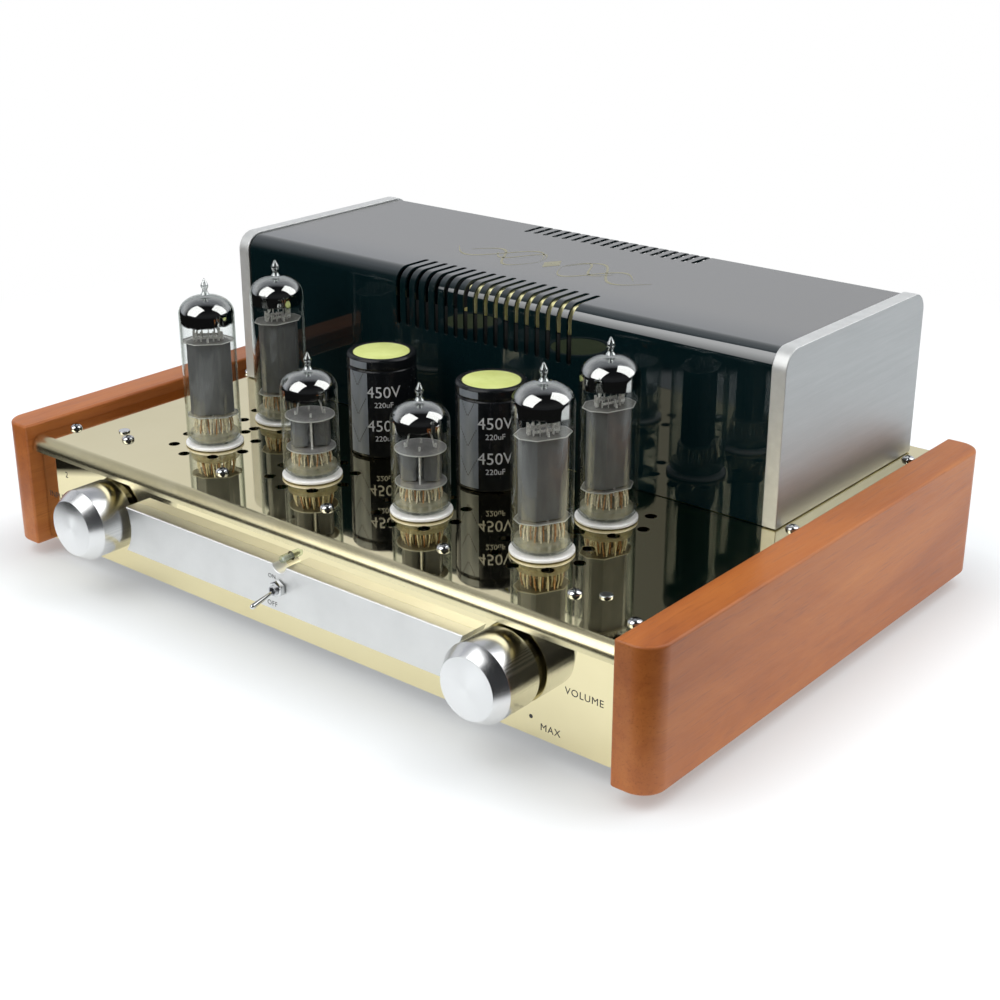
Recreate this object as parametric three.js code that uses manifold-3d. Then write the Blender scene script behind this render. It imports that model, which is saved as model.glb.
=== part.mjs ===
// Stereo valve amplifier: polished sheet-metal chassis between two wooden side panels, six valves
// and two capacitors in front of a slotted transformer cover, sockets and terminals at the back.
// Units are millimetres. +X is the listener's right, -Y is the front, +Z is up, and the origin is
// the middle of the footprint on the surface that the amplifier stands on.
import * as THREE from 'three';
import { mergeVertices } from 'three/addons/utils/BufferGeometryUtils.js';
import Module from 'manifold-3d';

const wasm = await Module();
wasm.setup();

// ---------------------------------------------------------------- driving dimensions
const GAP = 0.3; // clearance between touching pieces
const SHEET = 1.5; // chassis sheet thickness

const deckTop = 54; // top of the deck above the table
const deckHalfWidth = 149 - GAP;
const deckFront = -106; // where the deck starts to bend down
const lipRadius = 4.6;
const lipDrop = 6;

const woodThickness = 15.5;
const woodBottom = 6;
const woodTop = 58.8;
const woodFront = -113.2;
const woodRear = 116.4;
const woodCorner = 9; // rounded outer vertical corners
const woodInner = deckHalfWidth + GAP;

const panelFace = -106.4; // front face of the front panel
const panelBottom = 8;
const rearFace = 110.6; // rear face of the rear panel
const deckRear = rearFace;
const footHeight = 7;
const footRadius = 9;

const barFront = -112.7;
const barTop = 39.4;
const barBottom = 20.4;
const barEndRadius = 17; // concave ends, concentric with the knobs
const barGrooveRadius = 3.5; // groove in the bar's top, in front of the lamp
const barGrooveRise = 0.6;

const knobX = 102.5;
const knobZ = 31.2;
const knobRadius = 14.4;
const knobFaceRadius = 11.3;
const knobFront = -128.4;
const knobRear = -108.4;
const knobConeDepth = 5.1;
const knobFaceWall = 6.1; // solid metal in front of the knob's bore
const shaftRadius = 3;

const toggleX = -0.5;
const toggleZ = 30.6;
const togglePivotY = -114;
const toggleRestAngle = THREE.MathUtils.degToRad(12); // the lever rests down, in the off place

const ledZ = 41.2;
const ledRadius = 1.5;
const ledTip = -111.9;

const outerValveX = 85;
const innerValveX = 28.5;
const frontRowY = -67.1;
const rearRowY = -29.1;
const flangeRadius = 12;
const flangeTop = 3;
const socketRadius = 10.4;
const ventCircle = 16.5;
const ventRadius = 2.3;
const ventCount = 8;

const capacitorX = 28.5;
const capacitorY = -26.6;
const capacitorRadius = 14.2;
const capacitorHeight = 41;
const capacitorNeck = 10.8; // the part that stands in the deck's hole

const coverEndX = 139; // outer faces of the end plates
const coverEndThickness = 6;
const coverFront = -0.3;
const coverRear = 103.7;
const coverHeight = 66.9;
const coverCorner = 7;
const coverInset = 0.8; // the slotted cover lies a little inside the end plates' outline
const coverSheet = 1;
const slotCount = 18;
const slotPitch = 5.2;
const slotWidth = 2.3;
const slotFoot = 42.7; // lower end of the slots above the deck
const slotReach = 19.7; // how far the slots run in over the top

// ---------------------------------------------------------------- materials
const metal = (color, roughness) => new THREE.MeshStandardMaterial({ color, roughness, metalness: 1 });
const plain = (color, roughness) => new THREE.MeshStandardMaterial({ color, roughness, metalness: 0 });
const goldSteel = metal(0xd9d0a0, 0.06);
const zincSteel = metal(0xb9bcc0, 0.4);
const brushed = metal(0xc9cacc, 0.35);
const turned = metal(0xd4d6d8, 0.15);
const chrome = metal(0xe2e4e6, 0.05);
const nickel = metal(0x8b8a86, 0.35);
const brass = metal(0xcaa24a, 0.2);
const blackGloss = plain(0x10171a, 0.12);
const wood = plain(0xb5683a, 0.45);
const ceramic = plain(0xf2f0ea, 0.3);
const sleeve = plain(0x14171c, 0.3);
const blackPlastic = plain(0x18181a, 0.5);
const redPlastic = plain(0xa01818, 0.4);
const board = plain(0x1f5a34, 0.6);
const rubber = plain(0x202020, 0.9);
const coreSteel = metal(0x4b4d50, 0.6);
const tape = plain(0xe6dc84, 0.6);
const lens = plain(0xd8dcd6, 0.2);
const glass = new THREE.MeshStandardMaterial({
  color: 0xdfe6e4, roughness: 0.05, metalness: 0, transparent: true, opacity: 0.35,
});

// ---------------------------------------------------------------- helpers
const amplifier = new THREE.Group();

function add(name, geometry, material, x = 0, y = 0, z = 0) {
  const mesh = new THREE.Mesh(geometry, material);
  mesh.name = name;
  mesh.position.set(x, y, z);
  amplifier.add(mesh);
  return mesh;
}

function toSolid(geometry) {
  const bare = geometry.index ? geometry.toNonIndexed() : geometry.clone();
  bare.deleteAttribute('normal');
  bare.deleteAttribute('uv');
  const merged = mergeVertices(bare, 1e-4);
  return new wasm.Manifold(new wasm.Mesh({
    numProp: 3,
    vertProperties: new Float32Array(merged.attributes.position.array),
    triVerts: new Uint32Array(merged.index.array),
  }));
}

function toGeometry(solid) {
  const mesh = solid.getMesh();
  const geometry = new THREE.BufferGeometry();
  geometry.setAttribute('position', new THREE.BufferAttribute(mesh.vertProperties, 3));
  geometry.setIndex(new THREE.BufferAttribute(mesh.triVerts, 1));
  geometry.computeVertexNormals();
  return geometry;
}

const cut = (body, ...tools) => tools.reduce((left, tool) => left.subtract(toSolid(tool)), toSolid(body));
const join = (...bodies) => bodies.map(toSolid).reduce((left, right) => left.add(right));

// A box given by its lowest and highest corners.
function block(x0, x1, y0, y1, z0, z1) {
  return new THREE.BoxGeometry(x1 - x0, y1 - y0, z1 - z0)
    .translate((x0 + x1) / 2, (y0 + y1) / 2, (z0 + z1) / 2);
}

// A turned piece about +Z: its profile is a list of [radius, height] pairs, going up the outside.
function turnedUp(profile, sides) {
  const points = profile.map(([radius, height]) => new THREE.Vector2(radius, height));
  return new THREE.LatheGeometry(points, sides).rotateX(Math.PI / 2);
}

// A turned piece about +Y: its profile is a list of [radius, y] pairs, going towards +Y outside.
function turnedBack(profile, sides) {
  const points = profile.map(([radius, y]) => new THREE.Vector2(radius, y));
  return new THREE.LatheGeometry(points, sides);
}

const rod = (radius, z0, z1, sides) => turnedUp([[0, z0], [radius, z0], [radius, z1], [0, z1]], sides);
const pin = (radius, y0, y1, sides) => turnedBack([[0, y0], [radius, y0], [radius, y1], [0, y1]], sides);

// An outline in the Y-Z plane pushed along X from x0 to x1.
function pushX(shape, x0, x1, curveSegments = 6) {
  return new THREE.ExtrudeGeometry(shape, { depth: x1 - x0, bevelEnabled: false, curveSegments })
    .rotateX(Math.PI / 2)
    .rotateZ(Math.PI / 2)
    .translate(x0, 0, 0);
}

// An outline in the X-Y plane pushed up from z0 to z1.
function pushZ(shape, z0, z1, curveSegments = 6) {
  return new THREE.ExtrudeGeometry(shape, { depth: z1 - z0, bevelEnabled: false, curveSegments })
    .translate(0, 0, z0);
}

// An arch outline in Y-Z: straight sides from the foot up to rounded top corners.
function archPath(path, y0, y1, z0, z1, radius) {
  path.moveTo(y0, z0);
  path.lineTo(y1, z0);
  path.lineTo(y1, z1 - radius);
  path.absarc(y1 - radius, z1 - radius, radius, 0, Math.PI / 2, false);
  path.lineTo(y0 + radius, z1);
  path.absarc(y0 + radius, z1 - radius, radius, Math.PI / 2, Math.PI, false);
  path.closePath();
  return path;
}

// ---------------------------------------------------------------- valve places
const valves = [
  { name: 'power_valve_front_left', x: -outerValveX, y: frontRowY, power: true },
  { name: 'power_valve_rear_left', x: -outerValveX, y: rearRowY, power: true },
  { name: 'driver_valve_left', x: -innerValveX, y: frontRowY, power: false },
  { name: 'driver_valve_right', x: innerValveX, y: frontRowY, power: false },
  { name: 'power_valve_front_right', x: outerValveX, y: frontRowY, power: true },
  { name: 'power_valve_rear_right', x: outerValveX, y: rearRowY, power: true },
];

// ---------------------------------------------------------------- chassis
// The deck is one sheet whose front edge is bent down into a short rounded lip. Each valve has a
// socket hole with a circle of vent holes around it.
function deckPlate() {
  const inner = lipRadius - SHEET;
  const side = new THREE.Shape();
  side.moveTo(deckRear, deckTop - SHEET);
  side.lineTo(deckRear, deckTop);
  side.lineTo(deckFront, deckTop);
  side.absarc(deckFront, deckTop - lipRadius, lipRadius, Math.PI / 2, Math.PI, false);
  side.lineTo(deckFront - lipRadius, deckTop - lipDrop);
  side.lineTo(deckFront - inner, deckTop - lipDrop);
  side.lineTo(deckFront - inner, deckTop - lipRadius);
  side.absarc(deckFront, deckTop - lipRadius, inner, Math.PI, Math.PI / 2, true);
  side.closePath();
  const sheet = pushX(side, -deckHalfWidth, deckHalfWidth, 2);
  const through = [deckTop - SHEET - 1, deckTop + 1];
  const holes = [];
  for (const { x, y } of valves) {
    holes.push(rod(socketRadius + GAP, ...through, 20).translate(x, y, 0));
    for (let i = 0; i < ventCount; i += 1) {
      const turn = (i / ventCount) * 2 * Math.PI;
      const vent = rod(ventRadius, ...through, 6);
      holes.push(vent.translate(x + ventCircle * Math.cos(turn), y + ventCircle * Math.sin(turn), 0));
    }
  }
  for (const x of [-capacitorX, capacitorX]) {
    holes.push(rod(capacitorNeck + GAP, ...through, 20).translate(x, capacitorY, 0));
  }
  return cut(sheet, ...holes);
}
add('deck_plate', toGeometry(deckPlate()), goldSteel);

const panelTop = deckTop - SHEET - GAP;
const bushRadius = 4.5;
const toggleBushRadius = 1.9;

function frontPanel() {
  const sheet = block(-deckHalfWidth, deckHalfWidth, panelFace, panelFace + SHEET, panelBottom, panelTop);
  const through = [panelFace - 1, panelFace + SHEET + 1];
  const bushHole = () => pin(bushRadius + GAP, ...through, 16);
  return cut(
    sheet,
    bushHole().translate(-knobX, 0, knobZ),
    bushHole().translate(knobX, 0, knobZ),
    pin(toggleBushRadius + GAP, ...through, 16).translate(toggleX, 0, toggleZ),
    pin(ledRadius + GAP, ...through, 12).translate(toggleX, 0, ledZ),
  );
}
add('front_panel', toGeometry(frontPanel()), goldSteel);

// Rear connections: [name, x, z] of everything that passes through the rear panel.
const inletX = 112;
const inletZ = 30;
const inletHalfWidth = 14;
const inletHalfHeight = 10.5;
const fuseX = 86;
const fuseZ = 30;
const fuseRadius = 6.2;
const rcaXs = [-32, -14, 4, 22];
const rcaZs = [40, 22];
const rcaRadius = 4;
const rcaBore = 1.7;
const terminals = [
  { name: 'left_red', x: -126, tone: redPlastic },
  { name: 'left_black', x: -104, tone: blackPlastic },
  { name: 'right_red', x: -82, tone: redPlastic },
  { name: 'right_black', x: -60, tone: blackPlastic },
];
const terminalZ = 30;
const terminalBushRadius = 3.6;
const terminalPostRadius = 2.4;

function rearPanel() {
  const sheet = block(-deckHalfWidth, deckHalfWidth, rearFace - SHEET, rearFace, panelBottom, panelTop);
  const through = [rearFace - SHEET - 1, rearFace + 1];
  const holes = [
    block(
      inletX - inletHalfWidth - GAP, inletX + inletHalfWidth + GAP, ...through,
      inletZ - inletHalfHeight - GAP, inletZ + inletHalfHeight + GAP,
    ),
    pin(fuseRadius + GAP, ...through, 16).translate(fuseX, 0, fuseZ),
  ];
  for (const x of rcaXs) {
    for (const z of rcaZs) holes.push(pin(rcaRadius + 1, ...through, 10).translate(x, 0, z));
  }
  for (const { x } of terminals) {
    holes.push(pin(terminalBushRadius + GAP, ...through, 12).translate(x, 0, terminalZ));
  }
  return cut(sheet, ...holes);
}
add('rear_panel', toGeometry(rearPanel()), zincSteel);

// The tray closes the chassis: a bottom sheet with two upturned sides that the wood screws to.
const trayBottom = 8;
const traySheet = 1.2;
function bottomTray() {
  const front = panelFace + SHEET + GAP;
  const rear = rearFace - SHEET - GAP;
  const outer = block(-deckHalfWidth, deckHalfWidth, front, rear, trayBottom, panelTop);
  const hollow = block(
    -deckHalfWidth + traySheet, deckHalfWidth - traySheet, front - 1, rear + 1,
    trayBottom + traySheet, panelTop + 1,
  );
  return cut(outer, hollow);
}
add('bottom_tray', toGeometry(bottomTray()), zincSteel);

// ---------------------------------------------------------------- wooden side panels
function woodSide(sign) {
  const outer = woodInner + woodThickness;
  const plan = new THREE.Shape();
  plan.moveTo(woodInner, woodFront);
  plan.lineTo(outer - woodCorner, woodFront);
  plan.absarc(outer - woodCorner, woodFront + woodCorner, woodCorner, -Math.PI / 2, 0, false);
  plan.lineTo(outer, woodRear - woodCorner);
  plan.absarc(outer - woodCorner, woodRear - woodCorner, woodCorner, 0, Math.PI / 2, false);
  plan.lineTo(woodInner, woodRear);
  plan.closePath();
  const panel = pushZ(plan, woodBottom, woodTop, 6);
  return sign > 0 ? panel : panel.rotateZ(Math.PI).translate(0, woodFront + woodRear, 0);
}
add('wood_side_left', woodSide(-1), wood);
add('wood_side_right', woodSide(1), wood);

// ---------------------------------------------------------------- feet
const footX = 128;
const footYs = { front: -78, rear: 92 };
for (const [end, y] of Object.entries(footYs)) {
  for (const [side, sign] of Object.entries({ left: -1, right: 1 })) {
    const profile = [
      [0, 0], [footRadius - 1, 0], [footRadius, 1.2], [footRadius - 0.8, footHeight], [0, footHeight],
    ];
    add(`foot_${end}_${side}`, turnedUp(profile, 16), rubber, sign * footX, y, 0);
  }
}

// ---------------------------------------------------------------- fascia bar
// A flat bar across the front panel. Its ends are hollowed round the knobs, the toggle's bush
// passes through its middle, and a rounded groove in its top leaves room for the lamp.
function fasciaBar() {
  const through = [barFront - 1, panelFace];
  const bar = block(-knobX, knobX, barFront, panelFace - GAP, barBottom, barTop);
  return cut(
    bar,
    pin(barEndRadius, ...through, 48).translate(-knobX, 0, knobZ),
    pin(barEndRadius, ...through, 48).translate(knobX, 0, knobZ),
    pin(toggleBushRadius + GAP, ...through, 16).translate(toggleX, 0, toggleZ),
    pin(barGrooveRadius, ...through, 20).translate(toggleX, 0, barTop + barGrooveRise),
  );
}
add('fascia_bar', toGeometry(fasciaBar()), brushed);

// ---------------------------------------------------------------- knobs, shafts and controls
function knob() {
  const bore = shaftRadius + GAP;
  return turnedBack([
    [0, knobFront],
    [knobFaceRadius, knobFront],
    [knobRadius, knobFront + knobConeDepth],
    [knobRadius, knobRear],
    [bore, knobRear],
    [bore, knobFront + knobFaceWall],
    [0, knobFront + knobFaceWall],
  ], 32);
}

const panelBack = panelFace + SHEET + GAP; // where pieces that sit behind the front panel start
const controlEndWall = 3;

function controlBody(radius, depth) {
  const bore = shaftRadius + GAP;
  const back = panelBack;
  return turnedBack([
    [0, back + depth - controlEndWall],
    [bore, back + depth - controlEndWall],
    [bore, knobRear + GAP],
    [bushRadius, knobRear + GAP],
    [bushRadius, back],
    [radius, back],
    [radius, back + depth],
    [0, back + depth],
  ], 18);
}

const shaftFront = knobFront + knobFaceWall + GAP;
const controls = [
  { knob: 'selector', x: -knobX, body: 'selector_switch', radius: 12, depth: 14 },
  { knob: 'volume', x: knobX, body: 'volume_potentiometer', radius: 9, depth: 16 },
];
for (const control of controls) {
  const shaftBack = panelBack + control.depth - controlEndWall - GAP;
  add(`${control.knob}_knob`, knob(), turned, control.x, 0, knobZ);
  add(`${control.knob}_shaft`, pin(shaftRadius, shaftFront, shaftBack, 14), zincSteel, control.x, 0, knobZ);
  add(control.body, controlBody(control.radius, control.depth), nickel, control.x, 0, knobZ);
}

// ---------------------------------------------------------------- toggle switch
const nutFront = -115.2;
const bushFront = -116.6;
const toggleBox = { halfX: 4, halfZ: 6.5, depth: 10 };
const toggleBore = 1.4; // holds the lever's ball
const nutRadius = 3.3;

function toggleBody() {
  const { halfX, halfZ, depth } = toggleBox;
  const bush = pin(toggleBushRadius, bushFront, panelBack + 1, 16);
  const box = block(-halfX, halfX, panelBack, panelBack + depth, -halfZ, halfZ);
  const bore = pin(toggleBore, bushFront - 1, togglePivotY + toggleBore + 0.1, 14);
  const both = join(bush, box);
  return toGeometry(both.subtract(toSolid(bore)));
}
add('toggle_body', toggleBody(), zincSteel, toggleX, 0, toggleZ);

function toggleNut() {
  const outside = new THREE.CylinderGeometry(nutRadius, nutRadius, barFront - GAP - nutFront, 6)
    .translate(0, (barFront - GAP + nutFront) / 2, 0);
  return toGeometry(cut(outside, pin(toggleBushRadius + GAP, nutFront - 1, barFront + 1, 16)));
}
add('toggle_nut', toggleNut(), chrome, toggleX, 0, toggleZ);

function toggleLever() {
  return turnedBack([
    [0, -13.6], [0.75, -13.4], [1, -12.6], [0.95, -11.2], [0.7, -3], [0.7, -1.2],
    [1.05, -0.5], [1.1, 0.2], [0.8, 0.9], [0, 1.1],
  ], 14);
}
const lever = add('toggle_lever', toggleLever(), chrome, toggleX, togglePivotY, toggleZ);
lever.rotation.x = toggleRestAngle;

// ---------------------------------------------------------------- lamp
add('power_lamp', turnedBack([
  [0, ledTip], [ledRadius * 0.7, ledTip + 0.3], [ledRadius, ledTip + 1.2],
  [ledRadius, panelFace + 3], [0, panelFace + 3],
], 12), lens, toggleX, 0, ledZ);

// ---------------------------------------------------------------- valves
const wellRadius = 7.6;
const wellFloor = -7;
const socketFloor = -12;
const pinCircle = 6;
const pinRadius = 0.6;
const pinFoot = -4;
const pinPlaces = 10; // nine pins, and the tenth place is left empty
const buttonRadius = 9.4;
const micaRadius = 9.2;
const micaThickness = 0.6;
const supportX = 4.4;
const supportRadius = 0.5;

function socketBody() {
  return turnedUp([
    [0, socketFloor], [socketRadius, socketFloor], [socketRadius, 0],
    [flangeRadius, 1.2], [flangeRadius - 1.2, flangeTop], [wellRadius, flangeTop],
    [wellRadius, wellFloor], [0, wellFloor],
  ], 16);
}

const glassWall = 0.9;

// Glass envelopes are thin shells, open below, with a rounded shoulder and a drawn-out tip.
function envelope({ radius, shoulder, crown, tip }) {
  const wall = glassWall;
  const foot = flangeTop + GAP;
  const rise = crown - shoulder;
  const outside = [
    [radius - 0.9, foot],
    [radius, foot + 1.4],
    [radius, shoulder],
    [radius * 0.9, shoulder + rise * 0.5],
    [radius * 0.62, shoulder + rise * 0.86],
    [2.2, crown],
    [1.3, tip - 1.8],
    [0, tip],
  ];
  const inside = [
    [0, crown - 1.2],
    [radius * 0.6 - wall, shoulder + rise * 0.86 - wall],
    [radius - wall, shoulder - 0.5],
    [radius - wall, foot],
  ];
  return turnedUp([...inside, ...outside], 14);
}

const powerGlass = { radius: 11, shoulder: 56, crown: 62.5, tip: 69 };
const driverGlass = { radius: 11, shoulder: 37.5, crown: 44, tip: 50 };

// The inner structure of a valve: pins and glass button below, mica discs, the anode, and the
// getter ring above, all carried on two support rods.
function structure({ anodeFoot, anodeTop, anodeHalfX, anodeHalfY, getter }) {
  const button = rod(buttonRadius, flangeTop + 0.4, flangeTop + 2.6, 12);
  const pieces = [button];
  for (let i = 0; i < pinPlaces - 1; i += 1) {
    const turn = ((i + 0.5) / pinPlaces) * 2 * Math.PI;
    const leg = rod(pinRadius, pinFoot, flangeTop + 1, 4);
    pieces.push(leg.translate(pinCircle * Math.sin(turn), pinCircle * Math.cos(turn), 0));
  }
  for (const x of [-supportX, supportX]) {
    pieces.push(rod(supportRadius, flangeTop + 1, getter + 0.5, 4).translate(x, 0, 0));
  }
  for (const z of [anodeFoot - 1, anodeTop + 0.4]) {
    pieces.push(rod(micaRadius, z, z + micaThickness, 12));
  }
  pieces.push(block(-anodeHalfX, anodeHalfX, -anodeHalfY, anodeHalfY, anodeFoot - 0.6, anodeTop + 0.6));
  pieces.push(block(-5, 5, -1.5, 1.5, getter, getter + 1));
  return toGeometry(join(...pieces));
}

const powerStructure = { anodeFoot: 13.5, anodeTop: 42, anodeHalfX: 6.6, anodeHalfY: 4.2, getter: 47 };
const driverStructure = { anodeFoot: 13, anodeTop: 24.5, anodeHalfX: 7, anodeHalfY: 3.4, getter: 30 };

for (const { name, x, y, power } of valves) {
  add(`${name}_socket`, socketBody(), ceramic, x, y, deckTop);
  add(`${name}_electrodes`, structure(power ? powerStructure : driverStructure), nickel, x, y, deckTop);
  add(`${name}_glass`, envelope(power ? powerGlass : driverGlass), glass, x, y, deckTop);
}

// ---------------------------------------------------------------- capacitors
function capacitor() {
  const r = capacitorRadius;
  return turnedUp([
    [0, -12], [4, -12], [4, -4], [capacitorNeck, -4], [capacitorNeck, GAP], [r - 0.4, GAP],
    [r, capacitorHeight - 0.8], [r - 0.8, capacitorHeight], [0, capacitorHeight],
  ], 24);
}
add('capacitor_left', capacitor(), sleeve, -capacitorX, capacitorY, deckTop);
add('capacitor_right', capacitor(), sleeve, capacitorX, capacitorY, deckTop);

// ---------------------------------------------------------------- transformer cover
// A sheet bent over the transformers, slotted over both upper edges, between two end plates.
const coverFoot = deckTop + GAP;
const coverHalf = coverEndX - coverEndThickness - GAP;
function transformerCover() {
  const y0 = coverFront + coverInset;
  const y1 = coverRear - coverInset;
  const top = deckTop + coverHeight - coverInset;
  const outline = archPath(new THREE.Shape(), y0, y1, coverFoot, top, coverCorner);
  const hollow = archPath(
    new THREE.Shape(), y0 + coverSheet, y1 - coverSheet, coverFoot - 2, top - coverSheet,
    coverCorner - coverSheet,
  );
  const shell = toSolid(pushX(outline, -coverHalf, coverHalf, 2))
    .subtract(toSolid(pushX(hollow, -coverHalf - 1, coverHalf + 1, 2)));
  const slots = [];
  for (let i = 0; i < slotCount; i += 1) {
    const x = (i - (slotCount - 1) / 2) * slotPitch;
    const span = [x - slotWidth / 2, x + slotWidth / 2];
    slots.push(block(...span, y0 - 1, coverFront + slotReach, deckTop + slotFoot, top + 1));
    slots.push(block(...span, coverRear - slotReach, y1 + 1, deckTop + slotFoot, top + 1));
  }
  return slots.reduce((left, slot) => left.subtract(toSolid(slot)), shell);
}
add('transformer_cover', toGeometry(transformerCover()), blackGloss);

for (const [side, sign] of Object.entries({ left: -1, right: 1 })) {
  const outline = archPath(
    new THREE.Shape(), coverFront, coverRear, coverFoot, deckTop + coverHeight, coverCorner + coverInset,
  );
  const inner = sign * (coverEndX - coverEndThickness);
  const outer = sign * coverEndX;
  add(`cover_end_${side}`, pushX(outline, Math.min(inner, outer), Math.max(inner, outer), 3), brushed);
}

// ---------------------------------------------------------------- transformers
// One mains transformer in the middle and an output transformer on each side: a laminated core
// with two windows, and a taped coil that fills them.
function laminatedCore(halfX, halfY, height, window) {
  const post = window.post;
  const core = block(-halfX, halfX, -halfY, halfY, 0, height);
  const windows = [-1, 1].map((sign) => {
    const x0 = sign * post;
    const x1 = sign * (post + window.width);
    return block(Math.min(x0, x1), Math.max(x0, x1), -halfY - 1, halfY + 1, window.foot, window.top);
  });
  return toGeometry(cut(core, ...windows));
}

const coilOverhang = 9; // how far a coil stands out of its core, front and back

function tapedCoil(halfY, window) {
  const outerX = window.post + window.width - GAP;
  const innerX = window.post + GAP;
  const reach = halfY + coilOverhang;
  const body = block(-outerX, outerX, -reach, reach, window.foot + GAP, window.top - GAP);
  const middle = block(-innerX, innerX, -halfY - GAP, halfY + GAP, window.foot - 1, window.top + 1);
  return toGeometry(cut(body, middle));
}

const coverMiddleY = (coverFront + coverRear) / 2;
const transformers = [
  {
    name: 'mains_transformer', x: 0, halfX: 42, halfY: 24, height: 60,
    window: { post: 14, width: 14, foot: 12, top: 48 },
  },
  {
    name: 'output_transformer_left', x: -92, halfX: 30, halfY: 20, height: 52,
    window: { post: 10, width: 10, foot: 10, top: 42 },
  },
  {
    name: 'output_transformer_right', x: 92, halfX: 30, halfY: 20, height: 52,
    window: { post: 10, width: 10, foot: 10, top: 42 },
  },
];
for (const t of transformers) {
  const core = laminatedCore(t.halfX, t.halfY, t.height, t.window);
  add(`${t.name}_core`, core, coreSteel, t.x, coverMiddleY, deckTop + GAP);
  add(`${t.name}_coil`, tapedCoil(t.halfY, t.window), tape, t.x, coverMiddleY, deckTop + GAP);
}

// ---------------------------------------------------------------- circuit board
// The board stands on six legs inside the tray.
const boardZ = 24;
const boardThickness = 1.6;
const boardHalfX = 104;
const boardYs = [-72, 62];
const boardLegRadius = 3;
const boardLegXs = [-90, 0, 90];
const boardLegYs = [-60, 40];

function circuitBoard() {
  const legFoot = trayBottom + traySheet + GAP;
  const legs = boardLegXs.flatMap((x) => boardLegYs.map((y) => (
    rod(boardLegRadius, legFoot, boardZ + 0.5, 8).translate(x, y, 0)
  )));
  const sheet = block(-boardHalfX, boardHalfX, ...boardYs, boardZ, boardZ + boardThickness);
  return toGeometry(join(sheet, ...legs));
}
add('circuit_board', circuitBoard(), board);

// ---------------------------------------------------------------- rear connections
// The mains inlet is a box with a recess for the plug and three pins standing in it.
const inletWall = 2;
const inletDepth = 16;
const inletFlange = 4;
const bladePlaces = [[-7, -1], [0, 2], [7, -1]];

function mainsInlet() {
  const w = inletHalfWidth;
  const h = inletHalfHeight;
  const floor = rearFace - inletDepth + 3;
  const flange = block(
    -w - inletFlange, w + inletFlange, rearFace + GAP, rearFace + 3, -h - inletWall, h + inletWall,
  );
  const body = block(-w, w, rearFace - inletDepth, rearFace + 2, -h, h);
  const recess = block(-w + inletWall, w - inletWall, floor, rearFace + 4, -h + inletWall, h - inletWall);
  const pins = bladePlaces.map(([x, z]) => (
    toSolid(block(x - 1, x + 1, floor - 1, rearFace - 4, z - 2, z + 2))
  ));
  const shell = join(flange, body).subtract(toSolid(recess));
  return toGeometry(pins.reduce((left, right) => left.add(right), shell));
}
add('mains_inlet', mainsInlet(), blackPlastic, inletX, 0, inletZ);

// The fuse holder is a tube through the panel; its cap pulls out towards the rear.
const fuseBore = 5.5;
const fuseRim = rearFace + 2.4;
add('fuse_holder', turnedBack([
  [0, rearFace - 20], [fuseRadius, rearFace - 20], [fuseRadius, rearFace + GAP], [8, rearFace + GAP],
  [8, fuseRim], [fuseBore + GAP, fuseRim], [fuseBore + GAP, rearFace - 18], [0, rearFace - 18],
], 16), blackPlastic, fuseX, 0, fuseZ);
add('fuse_cap', turnedBack([
  [0, rearFace - 12], [fuseBore, rearFace - 12], [fuseBore, fuseRim + GAP], [7, fuseRim + GAP],
  [6.6, rearFace + 8], [0, rearFace + 8],
], 16), blackPlastic, fuseX, 0, fuseZ);

// Line inputs: one moulded strip behind the panel whose eight sleeves reach through it.
const stripBack = rearFace - SHEET - GAP; // rear face of the pieces that sit behind the rear panel
const inputStrip = { x: [-41, 31], z: [12, 50], depth: 6 };

function inputBlock() {
  const strip = block(...inputStrip.x, stripBack - inputStrip.depth, stripBack, ...inputStrip.z);
  const sleeves = [];
  const bores = [];
  for (const x of rcaXs) {
    for (const z of rcaZs) {
      sleeves.push(pin(rcaRadius, rearFace - SHEET - 1, rearFace + 8.4, 10).translate(x, 0, z));
      bores.push(pin(rcaBore, rearFace - 3, rearFace + 9.4, 6).translate(x, 0, z));
    }
  }
  const solid = join(strip, ...sleeves);
  return toGeometry(bores.reduce((left, bore) => left.subtract(toSolid(bore)), solid));
}
add('line_input_block', inputBlock(), brass);

// Loudspeaker terminals: one carrier strip with four threaded posts, and a screw cap on each post.
const capFront = rearFace + 5;
const capBack = rearFace + 17.8;
const postEnd = rearFace + 14;
const terminalStripX = [-134, -52];
const terminalStripHalfZ = 8;

function terminalStrip() {
  const back = stripBack;
  const parts = [block(...terminalStripX, back - 4, back, -terminalStripHalfZ, terminalStripHalfZ)];
  for (const { x } of terminals) {
    parts.push(pin(terminalBushRadius, back - 1, rearFace + 3, 12).translate(x, 0, 0));
    parts.push(pin(terminalPostRadius, rearFace - 1, postEnd, 10).translate(x, 0, 0));
  }
  return toGeometry(join(...parts));
}
add('speaker_terminal_strip', terminalStrip(), brass, 0, 0, terminalZ);

for (const { name, x, tone } of terminals) {
  const bore = terminalPostRadius + GAP;
  const cap = turnedBack([
    [0, postEnd + GAP], [bore, postEnd + GAP], [bore, capFront], [5.4, capFront],
    [6.4, capFront + 2], [6.4, capBack - 1.2], [5.6, capBack], [0, capBack],
  ], 14);
  add(`terminal_cap_${name}`, cap, tone, x, 0, terminalZ);
}

export default amplifier;
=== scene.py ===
"""Stereo valve amplifier: the looks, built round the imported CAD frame.

Lengths in this file are millimetres until mesh_of() writes them as metres. +X is the listener's
right, -Y the front, +Z up, as in the frame. Most places are worked out from the frame's boxes.
"""

import math
import random

import bmesh
import bpy
from mathutils import Matrix, Vector

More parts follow.
